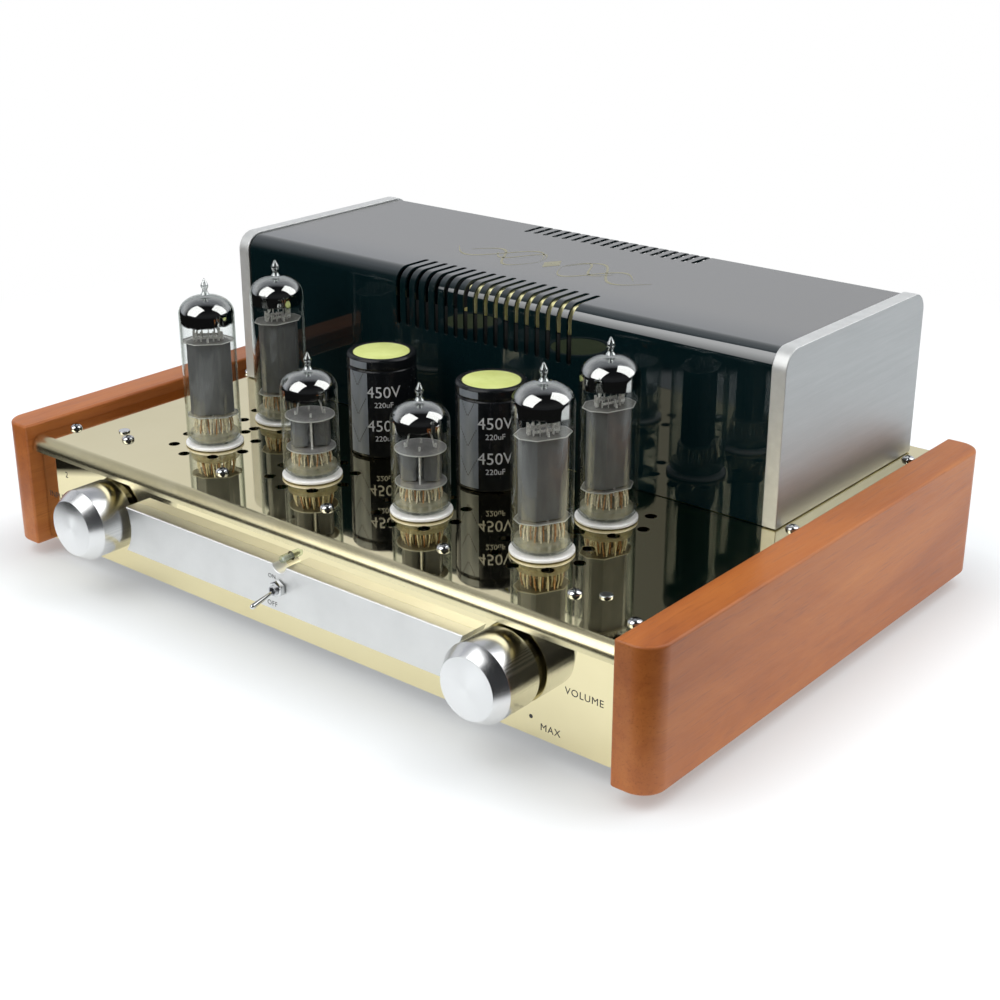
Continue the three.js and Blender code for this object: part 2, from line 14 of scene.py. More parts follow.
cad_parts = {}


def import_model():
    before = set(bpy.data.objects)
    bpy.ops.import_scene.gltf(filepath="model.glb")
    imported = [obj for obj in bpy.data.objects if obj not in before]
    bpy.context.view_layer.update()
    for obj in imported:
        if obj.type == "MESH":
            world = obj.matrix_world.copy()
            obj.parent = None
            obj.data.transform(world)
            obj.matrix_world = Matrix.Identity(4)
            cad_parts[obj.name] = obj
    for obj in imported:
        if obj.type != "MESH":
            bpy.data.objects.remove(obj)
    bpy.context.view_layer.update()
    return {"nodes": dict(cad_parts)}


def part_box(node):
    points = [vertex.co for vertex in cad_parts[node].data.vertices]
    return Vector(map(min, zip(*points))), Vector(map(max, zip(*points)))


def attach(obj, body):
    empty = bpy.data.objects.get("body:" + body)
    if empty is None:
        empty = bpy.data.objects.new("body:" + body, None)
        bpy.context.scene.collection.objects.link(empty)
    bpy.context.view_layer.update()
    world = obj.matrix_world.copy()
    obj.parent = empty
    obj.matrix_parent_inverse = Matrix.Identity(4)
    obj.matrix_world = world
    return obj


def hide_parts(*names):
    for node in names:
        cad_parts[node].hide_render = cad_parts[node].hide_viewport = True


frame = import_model()

MM = 0.001
CHASSIS = "chassis"
TAU = 2 * math.pi
QUARTER = math.pi / 2
random.seed(7)

scene = bpy.context.scene


# ---------------------------------------------------------------- frame measures
def box(node):
    """Lowest and highest corner of a CAD node, in millimetres."""
    low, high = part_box(node)
    return low / MM, high / MM


def middle(node):
    low, high = box(node)
    return (low + high) / 2


DECK_LOW, DECK_HIGH = box("deck_plate")
DECK = DECK_HIGH.z
PANEL_FACE = box("front_panel")[0].y


# ---------------------------------------------------------------- mesh helpers
def mesh_of(name, data):
    """A mesh from vertices in millimetres and faces."""
    mesh = bpy.data.meshes.new(name)
    mesh.from_pydata([(x * MM, y * MM, z * MM) for x, y, z in data[0]], [], data[1])
    return mesh


def face_outwards(mesh):
    bm = bmesh.new()
    bm.from_mesh(mesh)
    bmesh.ops.recalc_face_normals(bm, faces=bm.faces)
    bm.to_mesh(mesh)
    bm.free()


def smooth(mesh, sharp):
    for polygon in mesh.polygons:
        polygon.use_smooth = True
    mesh.set_sharp_from_angle(angle=math.radians(sharp))


def linked(name, data):
    obj = bpy.data.objects.new(name, data)
    scene.collection.objects.link(obj)
    return obj


def evaluated(obj):
    """The object's mesh with its modifiers, or its curve, worked out."""
    bpy.context.view_layer.update()
    graph = bpy.context.evaluated_depsgraph_get()
    return bpy.data.meshes.new_from_object(obj.evaluated_get(graph))


def place(name, mesh, material, body=CHASSIS, slot=None, sharp=30, replaces=()):
    """An object from a mesh, riding on a body. material may be a list."""
    face_outwards(mesh)
    mesh.materials.clear()
    for entry in material if isinstance(material, list) else [material]:
        mesh.materials.append(entry)
    smooth(mesh, sharp)
    obj = linked(name, mesh)
    if body:
        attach(obj, body)
    if replaces:
        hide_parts(*replaces)
    return obj


def make(name, data, material, **extra):
    """An object from vertices and faces. extra is handed to place()."""
    return place(name, mesh_of(name, data), material, **extra)


def flat_normals(obj):
    """Large flat faces stay flat where they meet a rounded edge."""
    weighted = obj.modifiers.new("flat", "WEIGHTED_NORMAL")
    weighted.keep_sharp = True
    weighted.weight = 100


def arc(u, v, radius, start, end, steps):
    """Points on an arc about (u, v), with its angles in radians."""
    turns = [start + (end - start) * k / steps for k in range(steps + 1)]
    return [(u + radius * math.cos(turn), v + radius * math.sin(turn)) for turn in turns]


def rod(radius, low, high):
    """The lathe profile of a plain rod."""
    return [(0, low), (radius, low), (radius, high), (0, high)]


def fillet(points, radii, steps=4):
    """An outline with some of its corners rounded. radii maps a point's index to a radius."""
    out = []
    for i, point in enumerate(points):
        radius = radii.get(i, 0)
        if not radius:
            out.append(tuple(point))
            continue
        here = Vector(point)
        back = (Vector(points[i - 1]) - here).normalized()
        ahead = (Vector(points[(i + 1) % len(points)]) - here).normalized()
        half = back.angle(ahead) / 2
        reach = radius / math.tan(half)
        centre = here + (back + ahead).normalized() * (radius / math.sin(half))
        a, b = here + back * reach - centre, here + ahead * reach - centre
        turn = a.angle_signed(b)
        for k in range(steps + 1):
            out.append(tuple(centre + Matrix.Rotation(-turn * k / steps, 2) @ a))
    return out


def lathe_data(profile, segments=64, closed=False, offset=(0, 0, 0), axis="Z"):
    """Vertices and faces of a turned piece: profile is [radius, height] pairs."""
    verts, faces, rings = [], [], []
    for radius, height in profile:
        if radius < 1e-6 and not closed:
            rings.append([len(verts)])
            verts.append((0, 0, height))
            continue
        rings.append(list(range(len(verts), len(verts) + segments)))
        for k in range(segments):
            turn = TAU * k / segments
            verts.append((radius * math.cos(turn), radius * math.sin(turn), height))
    pairs = list(zip(rings, rings[1:])) + ([(rings[-1], rings[0])] if closed else [])
    for low, high in pairs:
        if len(low) == 1 and len(high) == 1:
            continue
        for k in range(segments):
            n = (k + 1) % segments
            if len(low) == 1:
                faces.append((low[0], high[k], high[n]))
            elif len(high) == 1:
                faces.append((low[k], high[0], low[n]))
            else:
                faces.append((low[k], low[n], high[n], high[k]))
    if axis == "Y":
        verts = [(x, h, y) for x, y, h in verts]
    dx, dy, dz = offset
    return [(x + dx, y + dy, z + dz) for x, y, z in verts], faces


def lathe(name, profile, offset, material, axis="Z", segments=64, closed=False, **extra):
    return make(name, lathe_data(profile, segments, closed, offset, axis), material, **extra)


def merged(parts):
    """Several (vertices, faces) joined into one pair."""
    verts, faces = [], []
    for part_verts, part_faces in parts:
        base = len(verts)
        verts.extend(part_verts)
        faces.extend(tuple(i + base for i in face) for face in part_faces)
    return verts, faces


def prism_data(outline, low, high, plane="XY"):
    """A straight prism over an outline. plane names the outline's two axes."""
    def put(u, v, w):
        return {"XY": (u, v, w), "XZ": (u, w, v), "YZ": (w, u, v)}[plane]
    n = len(outline)
    verts = [put(u, v, w) for w in (low, high) for u, v in outline]
    faces = [tuple(range(n - 1, -1, -1)), tuple(range(n, 2 * n))]
    faces += [(i, (i + 1) % n, n + (i + 1) % n, n + i) for i in range(n)]
    return verts, faces


def block_data(low, high):
    (x0, y0, z0), (x1, y1, z1) = low, high
    return prism_data([(x0, y0), (x1, y0), (x1, y1), (x0, y1)], z0, z1)


def bevelled(data, width, segments=3, least=40, before=None):
    """Vertices and faces with every edge sharper than least degrees rounded. before keeps the
    rounding to edges in front of that y."""
    bm = bmesh.new()
    made = [bm.verts.new(v) for v in data[0]]
    for face in data[1]:
        bm.faces.new([made[i] for i in face])
    bmesh.ops.recalc_face_normals(bm, faces=bm.faces)
    edges = [e for e in bm.edges if len(e.link_faces) == 2
             and math.degrees(e.calc_face_angle(0)) > least
             and (before is None or max(v.co.y for v in e.verts) < before)]
    bmesh.ops.bevel(bm, geom=edges, offset=width, segments=segments, profile=0.5, affect="EDGES",
                    clamp_overlap=True)
    bm.verts.index_update()
    verts = [tuple(v.co) for v in bm.verts]
    faces = [tuple(v.index for v in f.verts) for f in bm.faces]
    bm.free()
    return verts, faces


def carved(obj, data):
    """Cuts a closed mesh, given as vertices and faces, out of an object."""
    mesh = mesh_of("cutter", data)
    face_outwards(mesh)
    cutter = linked("cutter", mesh)
    cut = obj.modifiers.new("cut", "BOOLEAN")
    cut.operation = "DIFFERENCE"
    cut.solver = "EXACT"
    cut.object = cutter
    result = evaluated(obj)
    obj.modifiers.clear()
    obj.data = result
    bpy.data.objects.remove(cutter)
    smooth(result, 30)


def wire_data(points, radius, sides=8):
    """A round wire through points, with closed ends."""
    path = [Vector(p) for p in points]
    verts, faces = [], []
    normal = None
    for i, here in enumerate(path):
        ahead = (path[min(i + 1, len(path) - 1)] - path[max(i - 1, 0)]).normalized()
        if normal is None:
            seed = Vector((0, 0, 1)) if abs(ahead.z) < 0.9 else Vector((1, 0, 0))
            normal = ahead.cross(seed).normalized()
        normal = (normal - ahead * normal.dot(ahead)).normalized()
        other = ahead.cross(normal)
        for u, v in arc(0, 0, radius, 0, TAU * (sides - 1) / sides, sides - 1):
            verts.append(tuple(here + normal * u + other * v))
    for i in range(len(path) - 1):
        for k in range(sides):
            n = (k + 1) % sides
            faces.append((i * sides + k, i * sides + n, (i + 1) * sides + n, (i + 1) * sides + k))
    faces.append(tuple(range(sides - 1, -1, -1)))
    faces.append(tuple(range(len(verts) - sides, len(verts))))
    return verts, faces


def turned_by(data, angle, offset):
    """Vertices turned about +Z and then moved."""
    c, s = math.cos(angle), math.sin(angle)
    dx, dy, dz = offset
    return [(x * c - y * s + dx, x * s + y * c + dy, z + dz) for x, y, z in data[0]], data[1]


# ---------------------------------------------------------------- shader helpers
def feed(tree, node, inputs):
    """Sets a node's inputs: a socket is linked and anything else is a plain value."""
    for key, value in inputs.items():
        if isinstance(value, bpy.types.NodeSocket):
            tree.links.new(value, node.inputs[key])
        else:
            node.inputs[key].default_value = value


def add(tree, kind, inputs=None, operation=None):
    node = tree.nodes.new("ShaderNode" + kind)
    if operation:
        node.operation = operation
    feed(tree, node, inputs or {})
    return node


def calc(tree, operation, *values):
    return add(tree, "Math", dict(enumerate(values)), operation).outputs["Value"]


def vector(tree, operation, *values, out="Vector"):
    return add(tree, "VectorMath", dict(enumerate(values)), operation).outputs[out]


def axis_of(tree, socket, axis):
    return add(tree, "SeparateXYZ", {"Vector": socket}).outputs[axis]


def blend(tree, factor, a, b, data_type="RGBA", blend_type="MIX"):
    node = add(tree, "Mix")
    node.data_type = data_type
    node.blend_type = blend_type
    feed(tree, node, {"Factor": factor, "A": a, "B": b})
    return node.outputs["Result"]


def mix_shaders(tree, share, one, two):
    return add(tree, "MixShader", {"Fac": share, 1: one, 2: two}).outputs["Shader"]


def shader(name):
    material = bpy.data.materials.new(name)
    material.use_nodes = True
    tree = material.node_tree
    tree.nodes.clear()
    out = add(tree, "OutputMaterial")
    principled = add(tree, "BsdfPrincipled")
    tree.links.new(principled.outputs["BSDF"], out.inputs["Surface"])
    return material, tree, principled, out


def coordinates(tree, stretch=(1, 1, 1), turn=(0, 0, 0)):
    place_on = add(tree, "TexCoord").outputs["Object"]
    return add(tree, "Mapping", {"Scale": stretch, "Rotation": turn,
                                 "Vector": place_on}).outputs["Vector"]


def noise(tree, where, scale, detail=4, roughness=0.55, distortion=0.0):
    return add(tree, "TexNoise", {"Scale": scale, "Detail": detail, "Roughness": roughness,
                                  "Distortion": distortion, "Vector": where}).outputs["Fac"]


def wave(tree, kind, scale, distortion):
    node = add(tree, "TexWave", {"Scale": scale, "Distortion": distortion,
                                 "Vector": coordinates(tree)})
    node.wave_type = kind
    node.rings_direction = node.bands_direction = "Y"
    return node.outputs["Fac"]


def ramp(tree, value, stops):
    node = add(tree, "ValToRGB", {"Fac": value})
    elements = node.color_ramp.elements
    while len(elements) < len(stops):
        elements.new(0.5)
    for element, (position, colour) in zip(elements, stops):
        element.position = position
        element.color = (*colour, 1)
    return node.outputs["Color"]


def spread(tree, value, low, high, from_low=0.3, from_high=0.7):
    """value brought from one range to another, and kept inside it."""
    return add(tree, "MapRange", {"From Min": from_low, "From Max": from_high, "To Min": low,
                                  "To Max": high, "Value": value}).outputs["Result"]


def bump(tree, principled, height, strength, distance):
    node = add(tree, "Bump", {"Strength": strength, "Distance": distance, "Height": height})
    tree.links.new(node.outputs["Normal"], principled.inputs["Normal"])


def partly_clear(tree, out, share, solid, tint=(1, 1, 1)):
    """Mixes a see-through shader with a solid one: a share of 0 is all clear."""
    clear = add(tree, "BsdfTransparent", {"Color": (*tint, 1)})
    mixed = mix_shaders(tree, share, clear.outputs["BSDF"], solid)
    tree.links.new(mixed, out.inputs["Surface"])
    return clear


# ---------------------------------------------------------------- materials
def surface(name, dark, light, rough, metallic=0.0, scale=120, stretch=(1, 1, 1), grain=900,
            grain_bump=0.0, bump_distance=0.00005, coat=0.0):
    """Colour drifts between dark and light, roughness between its two ends, over fine grain."""
    material, tree, principled, _ = shader(name)
    broad = noise(tree, coordinates(tree, stretch), scale)
    fine = noise(tree, coordinates(tree, stretch), grain, 3)
    feed(tree, principled, {"Base Color": ramp(tree, broad, [(0.3, dark), (0.7, light)]),
                            "Roughness": spread(tree, fine, *rough),
                            "Metallic": metallic, "Coat Weight": coat})
    if grain_bump:
        bump(tree, principled, fine, grain_bump, bump_distance)
    return material


gold_steel = surface("gold_steel", (0.74, 0.66, 0.40), (0.80, 0.72, 0.46), (0.018, 0.05), 1.0,
                     scale=14, grain=260, grain_bump=0.04, bump_distance=0.00002)
gold_bend = surface("gold_bend", (0.72, 0.65, 0.40), (0.78, 0.71, 0.46), (0.23, 0.27), 1.0,
                    scale=60)
plated_steel = surface("plated_steel", (0.50, 0.51, 0.53), (0.62, 0.63, 0.65), (0.28, 0.42), 1.0,
                       scale=60, grain=700, grain_bump=0.1)
chrome = surface("chrome", (0.60, 0.61, 0.61), (0.72, 0.73, 0.73), (0.05, 0.12), 1.0, scale=200)
bar_aluminium = surface("bar_aluminium", (0.70, 0.705, 0.70), (0.78, 0.785, 0.78), (0.38, 0.50),
                        1.0, scale=40, grain=2600, grain_bump=0.25, bump_distance=0.00004)
# The bar's rounded front edge is real; its whiter, partly diffuse finish, brighter than the bar's
# metal, is a painted highlight, and the lamp groove shares it.
painted_edge_highlight = surface("painted_edge_highlight", (0.95, 0.955, 0.95), (0.99, 0.99, 0.985), (0.42, 0.50), 0.7,
                   scale=60, grain_bump=0.05)
# Painted highlight: the end plates' edge faces are lighter and less metallic than the plates'
# faces.
painted_plate_edge = surface("painted_plate_edge", (0.62, 0.63, 0.62), (0.70, 0.71, 0.70), (0.38, 0.48), 0.5,
                     scale=200, grain_bump=0.05)
plate_aluminium = surface("plate_aluminium", (0.40, 0.415, 0.42), (0.43, 0.445, 0.45),
                          (0.42, 0.50), 0.9, scale=500, stretch=(1, 0.05, 1), grain=2600,
                          grain_bump=0.12, bump_distance=0.00002)
electrode_grey = surface("electrode_grey", (0.125, 0.126, 0.128), (0.17, 0.171, 0.173),
                         (0.4, 0.55), 0.15, scale=300, stretch=(1, 1, 0.3), grain=1500,
                         grain_bump=0.15)
nickel_wire = surface("nickel_wire", (0.78, 0.76, 0.72), (0.96, 0.94, 0.90), (0.2, 0.35), 0.25,
                      scale=400)
cream_wire = surface("cream_wire", (0.88, 0.78, 0.54), (0.98, 0.92, 0.74), (0.2, 0.35), 0.15,
                     scale=500)
copper_wire = surface("copper_wire", (0.42, 0.20, 0.08), (0.72, 0.42, 0.22), (0.2, 0.35), 0.3,
                      scale=400)
ceramic = surface("ceramic_glaze", (0.92, 0.915, 0.90), (0.97, 0.965, 0.955), (0.2, 0.3),
                  scale=90, grain=500, grain_bump=0.03, coat=0.5)
black_plastic = surface("black_plastic", (0.012, 0.012, 0.013), (0.028, 0.028, 0.03),
                        (0.35, 0.5), scale=200, grain=1800, grain_bump=0.2)
red_plastic = surface("red_plastic", (0.38, 0.012, 0.012), (0.5, 0.025, 0.02), (0.2, 0.34),
                      scale=150, grain=1200, grain_bump=0.08)
rubber = surface("foot_rubber", (0.014, 0.014, 0.014), (0.03, 0.03, 0.03), (0.7, 0.9),
                 scale=200, grain=1600, grain_bump=0.4)
gilt = surface("gilt_brass", (0.72, 0.50, 0.20), (0.85, 0.62, 0.30), (0.1, 0.22), 1.0, scale=150,
               grain=700, grain_bump=0.05)
laminate = surface("circuit_laminate", (0.01, 0.09, 0.03), (0.02, 0.16, 0.06), (0.25, 0.45),
                   scale=90, grain=600, grain_bump=0.1)
tape = surface("coil_tape", (0.72, 0.63, 0.20), (0.86, 0.79, 0.34), (0.25, 0.4), scale=50,
               stretch=(1, 1, 6), grain=300, grain_bump=0.15, bump_distance=0.0002)
ink = surface("printed_ink", (0.02, 0.02, 0.02), (0.05, 0.05, 0.05), (0.5, 0.7), scale=800)
pale_ink = surface("pale_ink", (0.50, 0.51, 0.53), (0.62, 0.63, 0.65), (0.4, 0.6), scale=800)
stripe_ink = surface("stripe_ink", (0.15, 0.17, 0.19), (0.21, 0.23, 0.26), (0.30, 0.42),
                     scale=200, stretch=(1, 1, 0.3))
gold_ink = surface("gold_ink", (0.25, 0.235, 0.14), (0.34, 0.32, 0.20), (0.25, 0.4), 0.4,
                   scale=300)
lead_sleeving = surface("lead_sleeving", (0.80, 0.72, 0.26), (0.95, 0.90, 0.55), (0.3, 0.5),
                        scale=200)
lead_tape = surface("lead_tape", (0.90, 0.83, 0.38), (0.98, 0.94, 0.60), (0.25, 0.4), scale=60)
# Painted shade: a near-black sheet that stands in for the shadow behind the cover's lower slots.
painted_shade_black = surface("painted_shade_sheet", (0.004, 0.004, 0.004), (0.010, 0.009, 0.008), (0.5, 0.7),
                   scale=90)
sticker = surface("insulating_disc", (0.56, 0.62, 0.19), (0.66, 0.72, 0.27), (0.5, 0.65),
                  grain=1500, grain_bump=0.2)
mica_edge = surface("mica_edge", (0.50, 0.49, 0.47), (0.66, 0.65, 0.62), (0.3, 0.5), scale=300)


def turned_metal():
    """Aluminium off the lathe: fine rings about Y, bright in wedges."""
    material, tree, principled, _ = shader("turned_aluminium")
    rings = wave(tree, "RINGS", 900, 1.5)
    tangent = add(tree, "Tangent")
    tangent.direction_type = "RADIAL"
    tangent.axis = "Y"
    feed(tree, principled, {
        "Base Color": ramp(tree, rings, [(0.0, (0.71, 0.715, 0.72)), (1.0, (0.83, 0.835, 0.835))]),
        "Roughness": spread(tree, rings, 0.2, 0.27, 0, 1), "Metallic": 1.0, "Anisotropic": 0.75,
        "Tangent": tangent.outputs["Tangent"]})
    return material


def cherry():
    """Stained cherry: quiet long grain along Y, fine pores, and a thin satin lacquer."""
    material, tree, principled, _ = shader("cherry_wood")
    drift = noise(tree, coordinates(tree, (1, 0.30, 1)), 26, 5, 0.62, 0.9)
    figure = noise(tree, coordinates(tree, (1, 0.06, 1), (0.05, 0, 0)), 120, 4, 0.6, 0.4)
    base = ramp(tree, blend(tree, 0.4, drift, figure, "FLOAT"), [
        (0.30, (0.30, 0.076, 0.013)), (0.5, (0.42, 0.126, 0.024)), (0.70, (0.52, 0.178, 0.038))])
    pores = noise(tree, coordinates(tree, (1, 0.05, 1)), 1300, 3, 0.6)
    dark = ramp(tree, pores, [(0.30, (0.62, 0.55, 0.5)), (0.46, (1, 1, 1))])
    feed(tree, principled, {"Base Color": blend(tree, 0.55, base, dark, blend_type="MULTIPLY"),
                            "Roughness": spread(tree, pores, 0.36, 0.48), "Coat Weight": 0.10,
                            "Coat Roughness": 0.25, "Specular IOR Level": 0.40})
    bump(tree, principled, pores, 0.2, 0.00005)
    return material


def black_enamel():
    """Deep gloss black with a blue-green cast; the level faces carry a fine sandy grain and a dark
    grey tone, darkened towards the top's front edge as painted shade.
    """
    material, tree, principled, _ = shader("black_enamel")
    coords = add(tree, "TexCoord")
    upward = axis_of(tree, coords.outputs["Normal"], "Z")
    inward = axis_of(tree, coords.outputs["Object"], "Y")
    # The level share fades out towards the top's front edge (y from 30 mm down to 5 mm): painted
    # shade, darker and glossier there.
    level = calc(tree, "MULTIPLY", spread(tree, upward, 0, 1, 0.75, 0.995),
                 spread(tree, inward, 0.25, 1, 0.005, 0.030))
    sand = calc(tree, "MULTIPLY", noise(tree, coordinates(tree), 1500, 2), level)
    feed(tree, principled, {
        "Roughness": blend(tree, level, 0.035, 0.26, "FLOAT"),
        "Base Color": blend(tree, level, (0.0025, 0.010, 0.012, 1), (0.118, 0.118, 0.112, 1)),
        "IOR": spread(tree, upward, 1.38, 2.25, 0.12, 0.62)})
    bump(tree, principled, sand, 0.35, 0.00008)
    return material


def laminations():
    """Varnished transformer sheets stacked along Y."""
    material, tree, principled, _ = shader("laminated_steel")
    sheets = wave(tree, "BANDS", 320, 0.4)
    feed(tree, principled, {
        "Base Color": ramp(tree, sheets, [(0.1, (0.03, 0.03, 0.032)), (0.9, (0.16, 0.16, 0.17))]),
        "Metallic": 0.7, "Roughness": 0.45})
    bump(tree, principled, sheets, 0.5, 0.0003)
    return material


def capacitor_sleeve():
    """Black shrink sleeve."""
    material, tree, principled, _ = shader("capacitor_sleeve")
    fine = noise(tree, coordinates(tree, (1, 1, 0.4)), 500, 3)
    feed(tree, principled, {
        "Base Color": ramp(tree, fine, [(0.3, (0.004, 0.005, 0.006)),
                                        (0.7, (0.008, 0.009, 0.011))]),
        "Roughness": spread(tree, fine, 0.16, 0.28), "Specular IOR Level": 0.3})
    bump(tree, principled, fine, 0.12, 0.00008)
    return material


def clear_glass(name, tint, face_on=0.045, edge=0.6, power=3.5):
    """Thin blown glass: see-through face on, darker and mirror-like at its edges."""
    material, tree, principled, out = shader(name)
    tree.nodes.remove(principled)
    glossy = add(tree, "BsdfGlossy", {"Roughness": 0.0, "Color": (0.96, 0.98, 0.97, 1)})
    facing = add(tree, "LayerWeight", {"Blend": 0.5}).outputs["Facing"]
    share = calc(tree, "MULTIPLY_ADD", calc(tree, "POWER", facing, power), edge, face_on)
    clear = partly_clear(tree, out, share, glossy.outputs["BSDF"])
    thick = ramp(tree, facing, [(0.55, tint), (0.95, (0.62, 0.65, 0.61))])
    tree.links.new(thick, clear.inputs["Color"])
    return material


def hazy_sheet(name, share, dark, light):
    """A cloudy sheet, partly see-through."""
    material, tree, principled, out = shader(name)
    cloud = noise(tree, coordinates(tree), 420, 3)
    feed(tree, principled, {"Base Color": ramp(tree, cloud, [(0.3, dark), (0.7, light)]),
                            "Roughness": 0.3})
    partly_clear(tree, out, share, principled.outputs["BSDF"], (0.85, 0.84, 0.82))
    return material


def getter_film(name, fade_low, fade_high):
    """The getter's mirror inside the glass: solid above, thinning out over a short height, with
    a ragged edge. The heights are in millimetres above the table."""
    ragged = 3 * MM
    material, tree, principled, out = shader(name)
    feed(tree, principled, {"Metallic": 1.0, "Base Color": (0.44, 0.43, 0.425, 1),
                            "Roughness": 0.03})
    where = add(tree, "TexCoord").outputs["Object"]
    height = calc(tree, "MULTIPLY_ADD", noise(tree, where, 160, 2), ragged,
                  axis_of(tree, where, "Z"))
    share = spread(tree, height, 0, 1, fade_low * MM + ragged / 2, fade_high * MM + ragged / 2)
    partly_clear(tree, out, share, principled.outputs["BSDF"])
    return material


turned_aluminium = turned_metal()
wood = cherry()
enamel = black_enamel()
core_steel = laminations()
sleeve = capacitor_sleeve()
valve_glass = clear_glass("valve_glass", (0.97, 0.98, 0.975), 0.022, 0.75, 4.0)
tip_glass = clear_glass("tip_glass", (0.80, 0.82, 0.82), 0.30, 0.7, 2.0)
lamp_glass = clear_glass("lamp_lens", (0.85, 0.9, 0.85))
button_glass = hazy_sheet("button_glass", 0.32, (0.66, 0.62, 0.42), (0.90, 0.86, 0.66))
MICAS = {"power": hazy_sheet("mica_thin", 0.45, (0.34, 0.33, 0.31), (0.5, 0.48, 0.45)),
         "driver": hazy_sheet("mica_thick", 0.8, (0.24, 0.225, 0.22), (0.36, 0.34, 0.33))}


# ---------------------------------------------------------------- CAD nodes that stay
def carry(node, material):
    """A CAD node that stays as it is, with a finished material."""
    obj = frame["nodes"][node]
    obj.data.materials.clear()
    obj.data.materials.append(material)
    return obj


def softened(node, material, width):
    """A CAD node that stays, with its edges broken."""
    obj = carry(node, material)
    weld = obj.modifiers.new("weld", "WELD")
    weld.merge_threshold = 0.00001
    edge = obj.modifiers.new("edge", "BEVEL")
    edge.width = width * MM
    edge.segments = 2
    edge.limit_method = "ANGLE"
    edge.angle_limit = math.radians(40)


for node, material in (("front_panel", gold_steel), ("rear_panel", plated_steel),
                       ("bottom_tray", plated_steel), ("selector_shaft", plated_steel),
                       ("volume_shaft", plated_steel), ("selector_switch", plated_steel),
                       ("volume_potentiometer", plated_steel), ("toggle_body", plated_steel),
                       ("fuse_holder", black_plastic), ("fuse_cap", black_plastic)):
    carry(node, material)
for node in ("mains_transformer", "output_transformer_left", "output_transformer_right"):
    softened(node + "_core", core_steel, 0.4)
    softened(node + "_coil", tape, 1.5)
softened("circuit_board", laminate, 0.2)
softened("mains_inlet", black_plastic, 0.5)
softened("line_input_block", gilt, 0.2)
softened("speaker_terminal_strip", gilt, 0.2)
for side in ("left", "right"):
    softened(f"terminal_cap_{side}_red", red_plastic, 0.4)
    softened(f"terminal_cap_{side}_black", black_plastic, 0.4)


# ---------------------------------------------------------------- deck
VALVE_TURNS = {"power_valve_front_left": 47, "power_valve_rear_left": 82, "driver_valve_left": 50,
               "driver_valve_right": 38, "power_valve_front_right": 63,
               "power_valve_rear_right": 71}
VENT_CIRCLE, VENT_RADIUS, VENTS = 16.5, 2.3, 8
SOCKET_HOLE, CAPACITOR_HOLE = 10.8, 11.2
DECK_SHEET, DECK_BEND = 1.5, 4.6


def deck():
    front, bend_z = DECK_LOW.y + DECK_BEND, DECK - DECK_BEND
    inner = DECK_BEND - DECK_SHEET
    outline = [(DECK_HIGH.y, DECK)] + arc(front, bend_z, DECK_BEND, QUARTER, math.pi, 20)
    outline += [(DECK_LOW.y, DECK_LOW.z), (front - inner, DECK_LOW.z)]
    outline += arc(front, bend_z, inner, math.pi, QUARTER, 20) + [(DECK_HIGH.y, DECK - DECK_SHEET)]
    obj = make("deck", prism_data(outline, DECK_LOW.x, DECK_HIGH.x, "YZ"), [gold_steel, gold_bend],
               slot="gold_steel", replaces=["deck_plate"])
    span = (DECK - DECK_SHEET - 1, DECK + 1)
    holes = []
    for name in VALVE_TURNS:
        spot = middle(name + "_socket")
        holes.append(lathe_data(rod(SOCKET_HOLE, *span), 48, offset=(spot.x, spot.y, 0)))
        for x, y in arc(spot.x, spot.y, VENT_CIRCLE, 0, TAU * (VENTS - 1) / VENTS, VENTS - 1):
            holes.append(lathe_data(rod(VENT_RADIUS, *span), 24, offset=(x, y, 0)))
    for name in ("capacitor_left", "capacitor_right"):
        spot = middle(name)
        holes.append(lathe_data(rod(CAPACITOR_HOLE, *span), 48, offset=(spot.x, spot.y, 0)))
    carved(obj, merged(holes))
    for polygon in obj.data.polygons:
        bent = polygon.center.y / MM < front and polygon.normal.z > -0.5
        polygon.material_index = 1 if bent else 0
    flat_normals(obj)


def screw_data(x, y):
    """A domed screw head on the deck."""
    radius, rim, height = 2.6, 0.35, 1.9
    profile = [(0, 0.02), (radius, 0.02), (radius, rim)]
    for k in range(1, 8):
        turn = QUARTER * k / 8
        profile.append((radius * math.cos(turn), rim + (height - rim) * math.sin(turn)))
    return lathe_data(profile + [(0, height)], 32, offset=(x, y, DECK))


def deck_screws():
    """Cross-headed screws along the deck's front and sides, and two plain rivets."""
    spots = [(x, -87.7) for x in (-115, -57.5, 0, 57.5, 115)]
    spots += [(side * 142.8, y) for side in (-1, 1) for y in (-92.6, 4.9, 94.9)]
    obj = make("deck_screws", merged([screw_data(*spot) for spot in spots]), chrome, slot="chrome")
    recess = block_data((-1.4, -0.28, 0.9), (1.4, 0.28, 3))
    for i, (x, y) in enumerate(spots):
        for quarter in (0, QUARTER):
            carved(obj, turned_by(recess, quarter + 0.4 + i * 1.3, (x, y, DECK)))
    rivet = fillet(rod(2.4, 0.02, 0.7), {2: 0.3})
    rivets = [lathe_data(rivet, 32, offset=(x, -82.4, DECK)) for x in (-124, 124)]
    make("deck_rivets", merged(rivets), chrome, slot="chrome")


deck()
deck_screws()


# ---------------------------------------------------------------- wooden sides and feet
def wood_side(node):
    low, high = box(node)
    corner, edge, steps = 9.0, 1.1, 12
    sign = 1 if high.x > 0 else -1
    inner, outer = sorted((abs(low.x), abs(high.x)))
    outline = [(inner, low.y)]
    outline += arc(outer - corner, low.y + corner, corner, -QUARTER, 0, steps)
    outline += arc(outer - corner, high.y - corner, corner, 0, QUARTER, steps)
    outline.append((inner, high.y))
    outline = [(sign * u, v) for u, v in outline][::sign]
    data = bevelled(prism_data(outline, low.z, high.z), edge, 4, 50)
    flat_normals(make(node + "_panel", data, wood, slot="wood", sharp=50, replaces=[node]))


